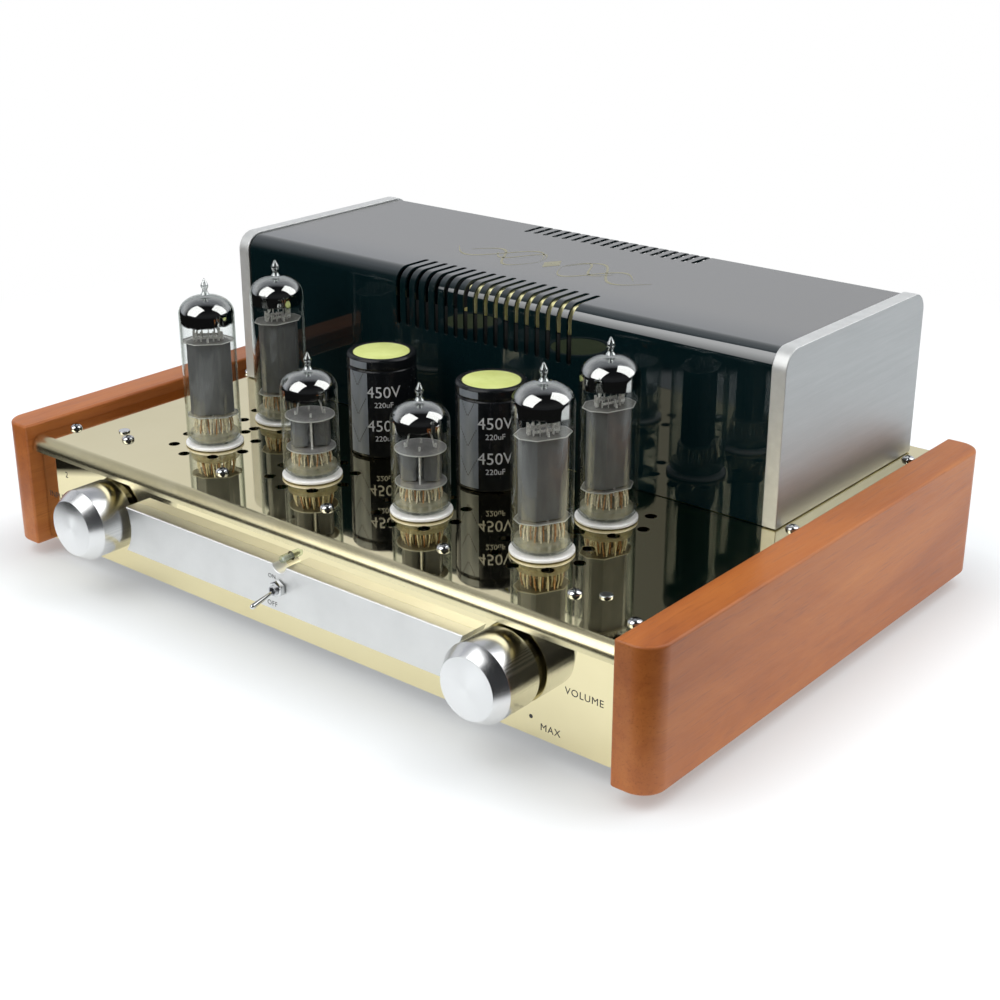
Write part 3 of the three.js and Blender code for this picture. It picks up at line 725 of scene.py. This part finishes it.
def foot(node):
    low, high = box(node)
    spot = middle(node)
    radius, top = (high.x - low.x) / 2, high.z
    profile = fillet([(0, 2.2), (3.2, 2.2), (3.2, 0), (radius - 0.6, 0), (radius, top * 0.3),
                      (radius - 0.8, top), (0, top)], {2: 0.5, 3: 1.2, 5: 0.5})
    lathe(node + "_rubber", profile, (spot.x, spot.y, 0), rubber, slot="rubber", replaces=[node])


wood_side("wood_side_left")
wood_side("wood_side_right")
for end in ("front", "rear"):
    for side in ("left", "right"):
        foot(f"foot_{end}_{side}")


# ---------------------------------------------------------------- fascia bar and knobs
def fascia_bar():
    """A satin bar: hollow ends round the knobs, and a groove in front of the lamp."""
    low, high = box("fascia_bar")
    seat = PANEL_FACE - 0.02
    hollow, groove, rise, steps = 17.0, 3.5, 0.6, 20
    lamp_x = middle("power_lamp").x
    left, right = middle("selector_knob"), middle("volume_knob")
    up = math.asin((high.z - right.z) / hollow)
    down = math.asin((right.z - low.z) / hollow)
    dip = math.asin(rise / groove)
    outline = arc(right.x, right.z, hollow, math.pi + down, math.pi - up, steps)
    outline += arc(lamp_x, high.z + rise, groove, -dip, dip - math.pi, steps)
    outline += arc(left.x, left.z, hollow, up, -down, steps)
    data = bevelled(prism_data(outline, low.y, seat, "XZ"), 1.9, 8, 50, low.y + 0.1)
    obj = make("fascia_bar_body", data, [bar_aluminium, painted_edge_highlight], slot="satin_aluminium",
               sharp=40, replaces=["fascia_bar"])
    toggle_spot = middle("toggle_nut")
    carved(obj, lathe_data(rod(2.1, low.y - 1, seat + 1), 32, axis="Y",
                           offset=(toggle_spot.x, 0, toggle_spot.z)))
    # The rounded front edge and the groove's faces take the painted highlight material.
    for polygon in obj.data.polygons:
        x, z = polygon.center.x / MM, polygon.center.z / MM
        rounded = polygon.normal.y < -0.12 and polygon.normal.z > 0.12
        in_groove = abs(x - lamp_x) < groove and z > high.z - groove
        in_groove = in_groove and abs(polygon.normal.y) < 0.5
        polygon.material_index = 1 if rounded or in_groove else 0
    flat_normals(obj)


def knob(which):
    """A turned knob: flat face, wide cone, and hollow behind round a boss."""
    low, high = box(which + "_knob")
    spot = middle(which + "_knob")
    radius, face, cone, wall = (high.x - low.x) / 2, 11.3, 5.1, 2.2
    hollow, bore = high.y - 5, low.y + 6.1
    profile = fillet([(0, low.y), (face, low.y), (radius, low.y + cone), (radius, high.y),
                      (radius - wall, high.y), (radius - wall, hollow), (5.4, hollow),
                      (5.4, high.y), (3.3, high.y), (3.3, bore), (0, bore)],
                     {1: 0.25, 2: 0.35, 3: 0.3}, 3)
    lathe(which + "_knob_turned", profile, (spot.x, 0, spot.z), turned_aluminium, "Y", 128,
          body=which + "_control", slot="turned_aluminium", sharp=25, replaces=[which + "_knob"])


fascia_bar()
knob("selector")
knob("volume")


# ---------------------------------------------------------------- toggle switch and lamp
def toggle():
    spot = middle("toggle_nut")
    low, high = box("toggle_nut")
    start, back, pitch = box("toggle_body")[0].y, low.y + 8, 0.4
    profile = [(1.4, start + 2.4), (1.4, start + 0.15), (1.5, start), (1.7, start)]
    y = start + 0.2
    while y < start + 3.2:
        profile += [(1.9, y), (1.68, y + pitch / 2)]
        y += pitch
    profile += [(1.9, y), (1.9, back), (1.3, back)]
    lathe("toggle_bush", profile, (spot.x, 0, spot.z), chrome, "Y", 48, closed=True,
          slot="chrome")
    hexagon = arc(spot.x, spot.z, 3.3, TAU / 12, TAU * 11 / 12, 5)
    data = bevelled(prism_data(hexagon, low.y, high.y, "XZ"), 0.3, 2, 30)
    nut = make("toggle_nut_hex", data, chrome, slot="chrome", replaces=["toggle_nut"])
    carved(nut, lathe_data(rod(2.0, low.y - 1, high.y + 1), 32, offset=(spot.x, 0, spot.z),
                           axis="Y"))
    pivot_y, tilt = -114.0, math.radians(12)
    profile = [(0, -13.6), (0.4, -13.55), (0.75, -13.3), (0.94, -12.9), (1.0, -12.3),
               (0.95, -11.2), (0.72, -4), (0.68, -2.6), (0.7, -1.2), (0.95, -0.6), (1.08, 0),
               (1.0, 0.5), (0.7, 0.9), (0, 1.1)]
    verts, faces = lathe_data(profile, 40, axis="Y")
    c, s = math.cos(tilt), math.sin(tilt)
    verts = [(x + spot.x, y * c - z * s + pivot_y, y * s + z * c + spot.z) for x, y, z in verts]
    make("toggle_lever_turned", (verts, faces), chrome, body="power_lever", slot="chrome",
         sharp=50, replaces=["toggle_lever"])


def lamp():
    low, high = box("power_lamp")
    spot = middle("power_lamp")
    radius = 1.5
    outside = arc(0, low.y + radius, radius, -QUARTER, 0, 8) + [(radius, high.y), (0, high.y)]
    lathe("lamp_lens", outside, (spot.x, 0, spot.z), lamp_glass, "Y", 32, slot="lens",
          replaces=["power_lamp"])
    inner = fillet([(0, low.y + 1.4), (0.7, low.y + 1.4), (1.0, low.y + 3), (1.0, high.y - 0.3),
                    (0, high.y - 0.3)], {1: 0.2})
    lathe("lamp_die", inner, (spot.x, 0, spot.z), nickel_wire, "Y", 24, slot="control_metal")


toggle()
lamp()


# ---------------------------------------------------------------- valves
# Heights above the deck.
SHAPES = {
    "power": dict(shoulder=54.6, crown=62.0, tip=69.0, film=50.8, film_soft=0.9,
                  anode=(13.7, 43.2), getter=48.0),
    "driver": dict(shoulder=35.6, crown=42.8, tip=50.0, film=32.4, film_soft=2.0,
                   anode=(13.0, 24.5), getter=30.0),
}
GLASS_RADIUS, GLASS_WALL, FLANGE_TOP, FILM = 11.0, 0.4, 1.5, 0.06
MICA, MICA_DISC, LEADS = 0.3, 9.3, 40
POWER_ANODE = [(-4.7, -5.6), (4.7, -5.6), (8.6, -1.7), (8.6, 1.7), (4.7, 5.6), (-4.7, 5.6),
               (-8.6, 1.7), (-8.6, -1.7)]
POWER_MICA = [(-5.4, -6.9), (5.4, -6.9), (9.9, -2.4), (9.9, 2.4), (5.4, 6.9), (-5.4, 6.9),
              (-9.9, 2.4), (-9.9, -2.4)]
FILMS = {kind: getter_film("getter_film_" + kind, DECK + s["film"],
                           DECK + s["film"] + s["film_soft"])
         for kind, s in SHAPES.items()}


def dome(radius, shoulder, crown, steps, least):
    """The rounded shoulder of an envelope, from its side up to the crown."""
    points = []
    for k in range(steps + 1):
        turn = QUARTER * k / steps
        r = radius * math.cos(turn) ** 0.85
        if r < least:
            break
        points.append((r, shoulder + (crown - shoulder) * math.sin(turn)))
    return points


def envelope_profile(shape):
    r, wall, foot = GLASS_RADIUS, GLASS_WALL, FLANGE_TOP + 0.2
    shoulder, crown = shape["shoulder"], shape["crown"]
    inside = [(0, crown - 0.7)] + dome(r - wall, shoulder, crown - wall, 20, 0.6)[::-1]
    inside += [(r - wall, foot + 3.0), (r - wall - 0.8, foot + 1.6), (r - 2.6, foot + 0.5),
               (0, foot + 0.5)]
    outside = [(0, foot), (r - 2.6, foot), (r - 1.5, foot + 0.35), (r - 0.7, foot + 1.0),
               (r - 0.2, foot + 1.9), (r, foot + 3.0)] + dome(r, shoulder, crown, 20, 2.4)
    return inside + outside + [(1.9, crown + 0.15), (1.5, crown + 0.6), (0, crown + 0.65)]


def tip_profile(shape):
    """The seal at the crown: a drawn neck under a bead that ends in a point."""
    low = shape["crown"] + 0.3
    span = shape["tip"] - low
    shares = [(0, 0), (1.75, 0.02), (1.25, 0.14), (0.95, 0.26), (1.15, 0.36), (1.5, 0.47),
              (1.55, 0.56), (1.25, 0.68), (0.75, 0.80), (0.42, 0.92), (0, 1)]
    return [(r, low + share * span) for r, share in shares]


def film_profile(shape):
    """A thin shell just inside the dome."""
    inner, crown = GLASS_RADIUS - GLASS_WALL - FILM, shape["crown"] - GLASS_WALL
    outer = [(inner, shape["film"])] + dome(inner, shape["shoulder"], crown - FILM, 18, 0.4)
    outer.append((0, crown - 0.2))
    return outer + [(max(r - FILM, 0), z - (FILM if r < inner else 0)) for r, z in outer[::-1]]


def pressed_anode(low, high):
    """A rounded box with two flat seams that stand out at its ends."""
    half_x, half_y, seam = 2.9, 3.0, 0.6
    outline = fillet([(-half_x, -half_y), (half_x, -half_y), (half_x, half_y), (-half_x, half_y)],
                     {k: 1.0 for k in range(4)}, 5)
    parts = [bevelled(prism_data(outline, low, high), 0.15, 1, 60)]
    for side in (-1, 1):
        x0, x1 = sorted((side * (half_x - 0.1), side * (half_x + seam)))
        parts.append(bevelled(block_data((x0, -0.35, low), (x1, 0.35, high)), 0.1, 1))
    return merged(parts)


def lead_paths(turn, top_z):
    """Wires that rise from the glass button to just under the lower mica."""
    for k in range(LEADS):
        angle = TAU * k / LEADS + turn
        reach = 7.6 if k % 2 else 5.2
        lean = random.uniform(-0.12, 0.12)
        start = Vector((reach * math.cos(angle), reach * math.sin(angle),
                        4.8 + random.uniform(0, 0.8)))
        top = Vector((reach * 0.92 * math.cos(angle + lean), reach * 0.92 * math.sin(angle + lean),
                      top_z))
        halfway = (start + top) / 2
        halfway.x, halfway.y = halfway.x * 1.06, halfway.y * 1.06
        yield start, halfway, top


def support_wires(kind, anode_low, anode_high, getter):
    """Rods through both micas, the getter's ring on its two legs, and the power valve's strips
    of nickel above the upper mica."""
    parts = [wire_data([(x, y, anode_low - 3.4), (x, y, anode_high + 2.2)], 0.42)
             for x, y in ((-5.6, 0), (5.6, 0), (0, -4.4), (0, 4.4))]
    ring_r, ring_z = 3.2, getter + 1.4
    parts.append(wire_data([(u, v, ring_z) for u, v in arc(0, 0, ring_r, 0, TAU, 24)], 0.5))
    for side in (-1, 1):
        parts.append(wire_data([(side * 5.0, 0, anode_high + 0.8), (side * 4.2, 0, getter - 0.6),
                                (side * ring_r, 0, ring_z)], 0.34))
    if kind == "driver":
        return parts
    strips, foot = 14, anode_high + 0.7
    for k in range(strips):
        angle = TAU * k / strips + 0.2
        tall = 2.8 + 1.4 * abs(math.sin(k * 1.9))
        strip = bevelled(block_data((-0.45, -0.14, foot), (0.45, 0.14, foot + tall)), 0.05, 1)
        parts.append(turned_by(strip, angle, (5.6 * math.cos(angle), 3.4 * math.sin(angle), 0)))
    for y in (-2.4, 2.4):
        parts.append(bevelled(block_data((-5.0, y - 0.12, anode_high + 1.6),
                                         (5.0, y + 0.12, anode_high + 2.6)), 0.05, 1))
    return parts


def valve(name, degrees):
    kind = name.split("_")[0]
    shape = SHAPES[kind]
    anode_low, anode_high = shape["anode"]
    spot = middle(name + "_socket")
    at = (spot.x, spot.y, DECK)
    turn = math.radians(degrees)

    def glass(suffix, profile, material, segments, **extra):
        lathe(name + suffix, profile, at, material, segments=segments, body=name,
              slot="valve_glass", **extra)

    def metal(suffix, parts, material, around=turn, **extra):
        return make(name + suffix, turned_by(merged(parts), around, at), material, body=name,
                    slot="electrode_metal", **extra)

    flange = fillet([(0, -12), (10.4, -12), (10.4, 0.3), (11.7, 0.3), (11.7, FLANGE_TOP),
                     (7.6, FLANGE_TOP), (7.6, -7), (0, -7)], {3: 0.2, 4: 0.6}, 5)
    lathe(name + "_base", flange, at, ceramic, segments=72, slot="ceramic",
          replaces=[name + "_socket"])
    glass("_envelope", envelope_profile(shape), valve_glass, 80, sharp=60,
          replaces=[name + "_glass"])
    glass("_tip", tip_profile(shape), tip_glass, 32, sharp=60)
    metal("_getter_film", [lathe_data(film_profile(shape), 72)], FILMS[kind], 0, sharp=60)
    button = fillet([(0, 2.4), (8.6, 2.4), (9.8, 3.8), (9.8, 5.6), (7.2, 6.4), (3.0, 5.4),
                     (0, 5.2)], {1: 0.5, 2: 0.4, 3: 0.5, 4: 1.0}, 3)
    glass("_button", button, button_glass, 64)

    # Nine pins in a circle with a gap, and the wires above them: every third one is copper.
    pin = [(0, -4.2), (0.35, -4.1), (0.52, -3.6), (0.52, 4.4), (0, 4.4)]
    pins = [lathe_data(pin, 12, offset=(x, y, 0))
            for x, y in arc(0, 0, 6.0, TAU * 0.05 + turn, TAU * 0.85 + turn, 8)]
    metal("_pins", pins, nickel_wire, 0, replaces=[name + "_electrodes"])
    wires = [wire_data(path, 0.3) for path in lead_paths(turn, anode_low - 1.4)]
    metal("_leads", [w for k, w in enumerate(wires) if k % 3 != 1], cream_wire, 0)
    metal("_wires", support_wires(kind, anode_low, anode_high, shape["getter"]), nickel_wire)
    metal("_copper_leads", wires[1::3], copper_wire, 0)

    heights = (anode_low - 1.0, anode_high + 0.3)
    if kind == "power":
        outline = fillet(POWER_MICA, {k: 1.0 for k in range(8)}, 3)
        rims = [wire_data([(u, v, z + MICA / 2) for u, v in outline + outline[:1]], 0.2, 6)
                for z in heights]
        plates = [bevelled(prism_data(POWER_ANODE, anode_low, anode_high), 0.12, 1, 30)]
    else:
        outline = arc(0, 0, MICA_DISC, 0, TAU * 95 / 96, 95)
        rim = [(MICA_DISC, -0.05), (MICA_DISC + 0.25, -0.05), (MICA_DISC + 0.25, 0.35),
               (MICA_DISC, 0.35)]
        rims = [lathe_data(rim, 72, closed=True, offset=(0, 0, z)) for z in heights]
        plates = [turned_by(pressed_anode(anode_low, anode_high), 0, (x, 0, 0))
                  for x in (-4.1, 4.1)]
    metal("_micas", [prism_data(outline, z, z + MICA) for z in heights], MICAS[kind])
    metal("_mica_rims", rims, mica_edge, turn if kind == "power" else 0)
    flat_normals(metal("_anode", plates, electrode_grey, sharp=50))


for valve_name, valve_turn in VALVE_TURNS.items():
    valve(valve_name, valve_turn)


# ---------------------------------------------------------------- capacitors
CAPACITOR_FACING = math.atan2(-0.771, 0.637)


def patch_data(radius, spot, start, end, low, high, lift=0.06, steps=24):
    """A thin curved label on a cylinder, between two bearings and two heights."""
    verts, faces = [], []
    for shell in (radius + 0.005, radius + lift):
        for x, y in arc(spot[0], spot[1], shell, start, end, steps):
            verts += [(x, y, low), (x, y, high)]
    side, last = 2 * (steps + 1), 2 * steps
    for a in range(0, last, 2):
        faces.append((a, a + 1, a + 3, a + 2))
        faces.append((side + a, side + a + 2, side + a + 3, side + a + 1))
        faces.append((a, a + 2, side + a + 2, side + a))
        faces.append((a + 1, side + a + 1, side + a + 3, a + 3))
    faces.append((0, side, side + 1, 1))
    faces.append((last, last + 1, side + last + 1, side + last))
    return verts, faces


def capacitor(node):
    """A sleeved can with a seam near its top, a disc on top and a polarity stripe."""
    low, high = box(node)
    spot = middle(node)
    radius, top = (high.x - low.x) / 2, high.z
    at = (spot.x, spot.y, 0)
    profile = fillet([(0, low.z), (4, low.z), (4, DECK - 4), (10.8, DECK - 4), (10.8, DECK + 0.3),
                      (radius - 0.5, DECK + 0.3), (radius - 0.35, DECK + 1.2),
                      (radius - 0.3, top - 5.4), (radius - 0.9, top - 4.7),
                      (radius - 0.3, top - 4.0), (radius - 0.25, top - 1.0),
                      (radius - 0.9, top - 0.2), (radius - 2.6, top - 0.15),
                      (radius - 2.9, top - 0.75), (0, top - 0.75)],
                     {5: 0.3, 7: 0.6, 8: 0.5, 9: 0.6, 10: 0.5, 11: 0.4, 12: 0.3, 13: 0.2}, 4)
    lathe(node + "_can", profile, at, sleeve, segments=96, slot="capacitor_sleeve", sharp=50,
          replaces=[node])
    disc = fillet(rod(11.2, top - 0.74, top - 0.35), {2: 0.12}, 2)
    lathe(node + "_disc", disc, at, sticker, segments=72, slot="capacitor_sleeve", sharp=50)
    facing, half = CAPACITOR_FACING - math.radians(40), math.radians(19)
    shell = radius - 0.3
    stripe = patch_data(shell, at, facing - half, facing + half, DECK + 1.4, top - 5.6)
    stripe_top = patch_data(shell + 0.02, at, facing - half, facing + half, top - 3.9, top - 1.2)
    make(node + "_stripe", merged([stripe, stripe_top]), stripe_ink, slot="capacitor_sleeve",
         sharp=50)
    marks = []
    for k in range(3):
        for step in range(8):
            off, foot = 0.035 * step, DECK + 12.3 + k * 12 - 0.9 * step
            for start in (facing - 0.28 + off, facing + 0.26 - off):
                marks.append(patch_data(shell + 0.06, at, start, start + 0.02, foot, foot + 0.7,
                                        0.05, 2))
    make(node + "_stripe_marks", merged(marks), ink, slot="capacitor_sleeve", sharp=50)


capacitor("capacitor_left")
capacitor("capacitor_right")


# ---------------------------------------------------------------- transformer cover
COVER_SHEET, COVER_CORNER, COVER_INSET = 0.9, 7.0, 0.8
SLOTS, SLOT_PITCH, SLOT_WIDTH, SLOT_FOOT, SLOT_REACH = 18, 5.2, 2.3, 42.7, 18.9


def arch(y0, y1, z0, z1, radius, steps=12):
    return ([(y0, z0), (y1, z0)] + arc(y1 - radius, z1 - radius, radius, 0, QUARTER, steps)
            + arc(y0 + radius, z1 - radius, radius, QUARTER, math.pi, steps))


def cover():
    """A folded sheet with a row of slots over its front bend and another over its rear bend."""
    low, high = box("transformer_cover")
    outer = arch(low.y, high.y, low.z, high.z, COVER_CORNER)
    inner = arch(low.y + COVER_SHEET, high.y - COVER_SHEET, low.z - 2, high.z - COVER_SHEET,
                 COVER_CORNER - COVER_SHEET)
    obj = make("cover_shell", prism_data(outer, low.x, high.x, "YZ"), enamel, slot="black_enamel",
               replaces=["transformer_cover"])
    carved(obj, prism_data(inner, low.x - 1, high.x + 1, "YZ"))
    half, foot = SLOT_WIDTH / 2, DECK + SLOT_FOOT
    uprights, levels = [], []
    for k in range(SLOTS):
        x = (k - (SLOTS - 1) / 2) * SLOT_PITCH
        face = arc(x, foot + half, half, math.pi, TAU, 10)
        face += [(x + half, high.z + 1), (x - half, high.z + 1)]
        top = [(x - half, 2)] + arc(x, SLOT_REACH - half, half, math.pi, 0, 10) + [(x + half, 2)]
        for edge, inward in ((low.y, 1), (high.y, -1)):
            y0, y1 = sorted((edge - inward, edge + inward * 5))
            uprights.append(prism_data(face, y0, y1, "XZ"))
            levels.append(prism_data([(u, edge + inward * w) for u, w in top],
                                     high.z - 4.5, high.z + 1))
    carved(obj, merged(uprights))
    carved(obj, merged(levels))
    flat_normals(obj)


def cover_end(node):
    low, high = box(node)
    outline = arch(low.y, high.y, low.z, high.z, COVER_CORNER + COVER_INSET, 14)
    data = bevelled(prism_data(outline, low.x, high.x, "YZ"), 0.45, 3, 50)
    plate = make(node + "_plate", data, [plate_aluminium, painted_plate_edge], slot="satin_aluminium",
                 sharp=50, replaces=[node])
    # Edge faces take the lighter material: a painted highlight.
    for polygon in plate.data.polygons:
        polygon.material_index = 0 if abs(polygon.normal.x) > 0.9 else 1
    flat_normals(plate)


def lead_wrap():
    """The taped lead-out board of the mains transformer, close behind the slots, with a black
    sheet under it that stands for the shade over the lower coil: painted shade.
    """
    low, high = box("transformer_cover")
    front, top = low.y, high.z
    data = bevelled(block_data((-9, front + 3.4, top - 13.0), (45, front + 26, top - 1.6)), 1.2)
    make("mains_lead_wrap", data, lead_tape, slot="coil_tape", sharp=50)
    # Painted shade: a black sheet behind the lower part of the slots, where the coil lies in
    # shadow.
    board = block_data((-60, front + 4.6, top - 27), (60, front + 5.8, top - 13.4))
    make("painted_shade_board", bevelled(board, 0.2, 1), painted_shade_black, slot="circuit_laminate", sharp=50)
    ribs = [bevelled(block_data((x, front + 3.0, top - 12.6), (x + 1.6, front + 3.5, top - 4)),
                     0.2, 1) for x in (-6.5 + k * SLOT_PITCH for k in range(10))]
    make("mains_lead_ends", merged(ribs), lead_sleeving, slot="coil_tape")


cover()
cover_end("cover_end_left")
cover_end("cover_end_right")
lead_wrap()


# ---------------------------------------------------------------- printed marks
def text_mesh(name, text, height, extrude, align, spacing=1.0):
    """Lettering flat on XY, in metres. height is that of a capital, in millimetres."""
    curve = bpy.data.curves.new(name, "FONT")
    curve.body = text
    curve.size = height * MM / 0.7
    curve.extrude = extrude * MM
    curve.align_x = align
    curve.resolution_u = 3
    curve.space_character = spacing
    source = linked(name + "_curve", curve)
    mesh = evaluated(source)
    bpy.data.objects.remove(source)
    return mesh


def mark(name, text, height, x, z, y, align="LEFT", slot="gold_steel"):
    """A control word or dial number printed on a face that looks forwards."""
    mesh = text_mesh(name, text, height, 0.015, align, 1.12)
    spot = Matrix.Translation((x * MM, (y - 0.03) * MM, z * MM))
    mesh.transform(spot @ Matrix.Rotation(QUARTER, 4, "X"))
    place(name, mesh, ink, slot=slot)


def rating(name, text, height, node, bearing, z):
    """A capacitor's rating, printed round its sleeve."""
    low, high = box(node)
    spot = middle(node)
    radius = (high.x - low.x) / 2 - 0.22
    mesh = text_mesh(name, text, height, 0.02, "CENTER")
    for vertex in mesh.vertices:
        x, y, lift = vertex.co / MM
        turn, out = bearing + x / radius, radius + lift
        vertex.co = Vector((spot.x + out * math.cos(turn), spot.y + out * math.sin(turn),
                            z + y)) * MM
    place(name, mesh, pale_ink, slot="capacitor_sleeve")


BAR_FACE = box("fascia_bar")[0].y
mark("mark_volume", "VOLUME", 2.6, 125.7, 28.6, PANEL_FACE)
mark("mark_max", "MAX", 2.6, 115.7, 11.4, PANEL_FACE)
mark("mark_input", "INPUT", 2.6, -146.5, 27.2, PANEL_FACE)
mark("mark_two", "2", 2.6, -134.2, 38.4, PANEL_FACE)
mark("mark_on", "ON", 1.7, -4.5, 33.3, BAR_FACE, "CENTER", "satin_aluminium")
mark("mark_off", "OFF", 2.0, -5.0, 22.0, BAR_FACE, "CENTER", "satin_aluminium")
lathe("mark_dot", rod(0.75, PANEL_FACE - 0.05, PANEL_FACE - 0.01), (111.8, 0, 15.1), ink, "Y", 24,
      slot="gold_steel")

for node in ("capacitor_left", "capacitor_right"):
    for line, (text, height, z) in enumerate((("450V", 4.6, 79.5), ("220uF", 2.2, 75.4),
                                              ("450V", 4.6, 65.5), ("220uF", 2.2, 61.4))):
        rating(f"{node}_rating_{line}", text, height, node, CAPACITOR_FACING + math.radians(6), z)


def cover_ornament():
    """A plain flourish in gold on the cover's top: two mirrored groups of waves and a lozenge."""
    low = box("transformer_cover")[1].z + 0.02
    high, steps = low + 0.03, 40
    parts = []
    for side in (-1, 1):
        for reach, swing, y0 in ((44, 15, 46), (36, -13, 45), (24, 10, 48)):
            verts = []
            for k in range(steps + 1):
                t = k / steps
                x = side * (6 + reach * t)
                y = y0 + swing * math.sin(t * TAU) * (1 - 0.5 * t)
                half = 0.8 * math.sin(math.pi * min(0.98, max(0.02, t))) + 0.12
                verts += [(x, y - half, low), (x, y + half, low), (x, y + half, high),
                          (x, y - half, high)]
            end = 4 * steps
            faces = [(a + e, a + (e + 1) % 4, a + 4 + (e + 1) % 4, a + 4 + e)
                     for a in range(0, end, 4) for e in range(4)]
            parts.append((verts, faces + [(0, 1, 2, 3), (end, end + 3, end + 2, end + 1)]))
    parts.append(prism_data([(0, 40), (4, 46.5), (0, 53), (-4, 46.5)], low, high))
    make("cover_ornament", merged(parts), gold_ink, slot="black_enamel")


cover_ornament()


# ---------------------------------------------------------------- stage, light and camera
def stage_floor():
    """White paper: it carries cast shadows and a painted soft shadow round the amplifier's
    footprint, ends in the dark on the camera's side, and fades to plain white well away from the
    amplifier. Lengths in the shader are metres."""
    reach = 9000
    material, tree, principled, out = shader("paper_floor")
    tree.nodes.remove(principled)
    where = add(tree, "TexCoord").outputs["Object"]

    def glow(strength):
        return add(tree, "Emission", {"Strength": strength}).outputs["Emission"]

    def past(direction, start, end):
        along = vector(tree, "DOT_PRODUCT", where, direction, out="Value")
        return spread(tree, along, 0, 1, start, end)

    paper = add(tree, "BsdfDiffuse", {"Color": (0.775, 0.80, 0.81, 1)}).outputs["BSDF"]
    lit = add(tree, "AddShader", {0: paper, 1: glow(0.20)}).outputs["Shader"]
    away = spread(tree, vector(tree, "LENGTH", where, out="Value"), 0, 1, 0.26, 0.52)
    past_edge = calc(tree, "MAXIMUM", past((-0.59, -0.81, 0), 0.262, 0.272),
                     past((0.60, -0.80, 0), 0.212, 0.225))
    # Painted shadow: the paper seen by the camera is darkened near the amplifier's footprint,
    # fading out 45 mm from it.
    footprint = (0.155, 0.104, 0)
    outside = vector(tree, "SUBTRACT", vector(tree, "ABSOLUTE", where), footprint)
    gap = vector(tree, "LENGTH", vector(tree, "MAXIMUM", outside, (0, 0, 0)), out="Value")
    under = spread(tree, gap, 0.30, 0, 0.004, 0.045)
    seen = mix_shaders(tree, away, mix_shaders(tree, under, lit, glow(0.35)), glow(1.0))
    reflected = mix_shaders(tree, past_edge, lit, glow(0.012))
    camera_ray = add(tree, "LightPath").outputs["Is Camera Ray"]
    tree.links.new(mix_shaders(tree, camera_ray, reflected, seen), out.inputs["Surface"])
    corners = [(-reach, -reach, 0), (reach, -reach, 0), (reach, reach, 0), (-reach, reach, 0)]
    floor = make("floor", (corners, [(0, 1, 2, 3)]), material, body=None)
    floor.location.z = -0.00005


def world():
    """A pale sweep behind the amplifier and a darker room on the camera's side."""
    made = bpy.data.worlds.new("studio")
    scene.world = made
    made.use_nodes = True
    tree = made.node_tree
    tree.nodes.clear()
    out = add(tree, "OutputWorld")
    where = add(tree, "TexCoord").outputs["Generated"]
    away = vector(tree, "DOT_PRODUCT", where, (-0.70, 0.71, 0.0), out="Value")
    room = ramp(tree, away, [(0.02, (0.035, 0.036, 0.038)), (0.40, (0.78, 0.79, 0.82))])
    height = ramp(tree, axis_of(tree, where, "Z"), [
        (0.0, (0.75, 0.77, 0.82)), (0.38, (1.0, 1.0, 1.0)), (0.75, (0.45, 0.46, 0.48)),
        (1.0, (0.35, 0.36, 0.38))])
    both = blend(tree, 1.0, room, height, blend_type="MULTIPLY")
    lit = add(tree, "Background", {"Color": both, "Strength": 1.0}).outputs["Background"]
    seen = add(tree, "Background", {"Color": (1, 1, 1, 1)}).outputs["Background"]
    camera_ray = add(tree, "LightPath").outputs["Is Camera Ray"]
    tree.links.new(mix_shaders(tree, camera_ray, lit, seen), out.inputs["Surface"])


def area(name, bearing, elevation, distance, size, power, glossy=True):
    """A soft box that looks at the amplifier. bearing 0 is the front, 90 the right."""
    light = bpy.data.lights.new(name, "AREA")
    light.shape = "RECTANGLE"
    light.size, light.size_y = size
    light.energy = power
    obj = linked(name, light)
    a, e = math.radians(bearing), math.radians(elevation)
    direction = Vector((math.sin(a) * math.cos(e), -math.cos(a) * math.cos(e), math.sin(e)))
    obj.location = direction * distance + Vector((0, 0, 0.06))
    obj.rotation_euler = direction.to_track_quat("Z", "Y").to_euler()
    obj.visible_glossy = glossy


def camera():
    data = bpy.data.cameras.new("camera")
    data.lens = 60.24
    data.sensor_width = 36
    data.clip_start = 0.01
    obj = linked("camera", data)
    obj.location = (0.4134, -0.48775, 0.29255)
    obj.rotation_euler = (math.radians(90 - 22.36), 0, math.radians(39.55))
    scene.camera = obj


stage_floor()
world()
area("soft_left", -20, 42, 1.7, (1.45, 2.0), 22)
area("soft_right", 132, 42, 1.7, (1.25, 1.9), 17)
area("side_fill", 64, 18, 1.6, (1.1, 1.1), 4.6, glossy=False)
area("overhead", 40, 82, 2.6, (3.2, 3.2), 32, glossy=False)
camera()
scene.view_settings.view_transform = "Standard"
scene.view_settings.look = "None"
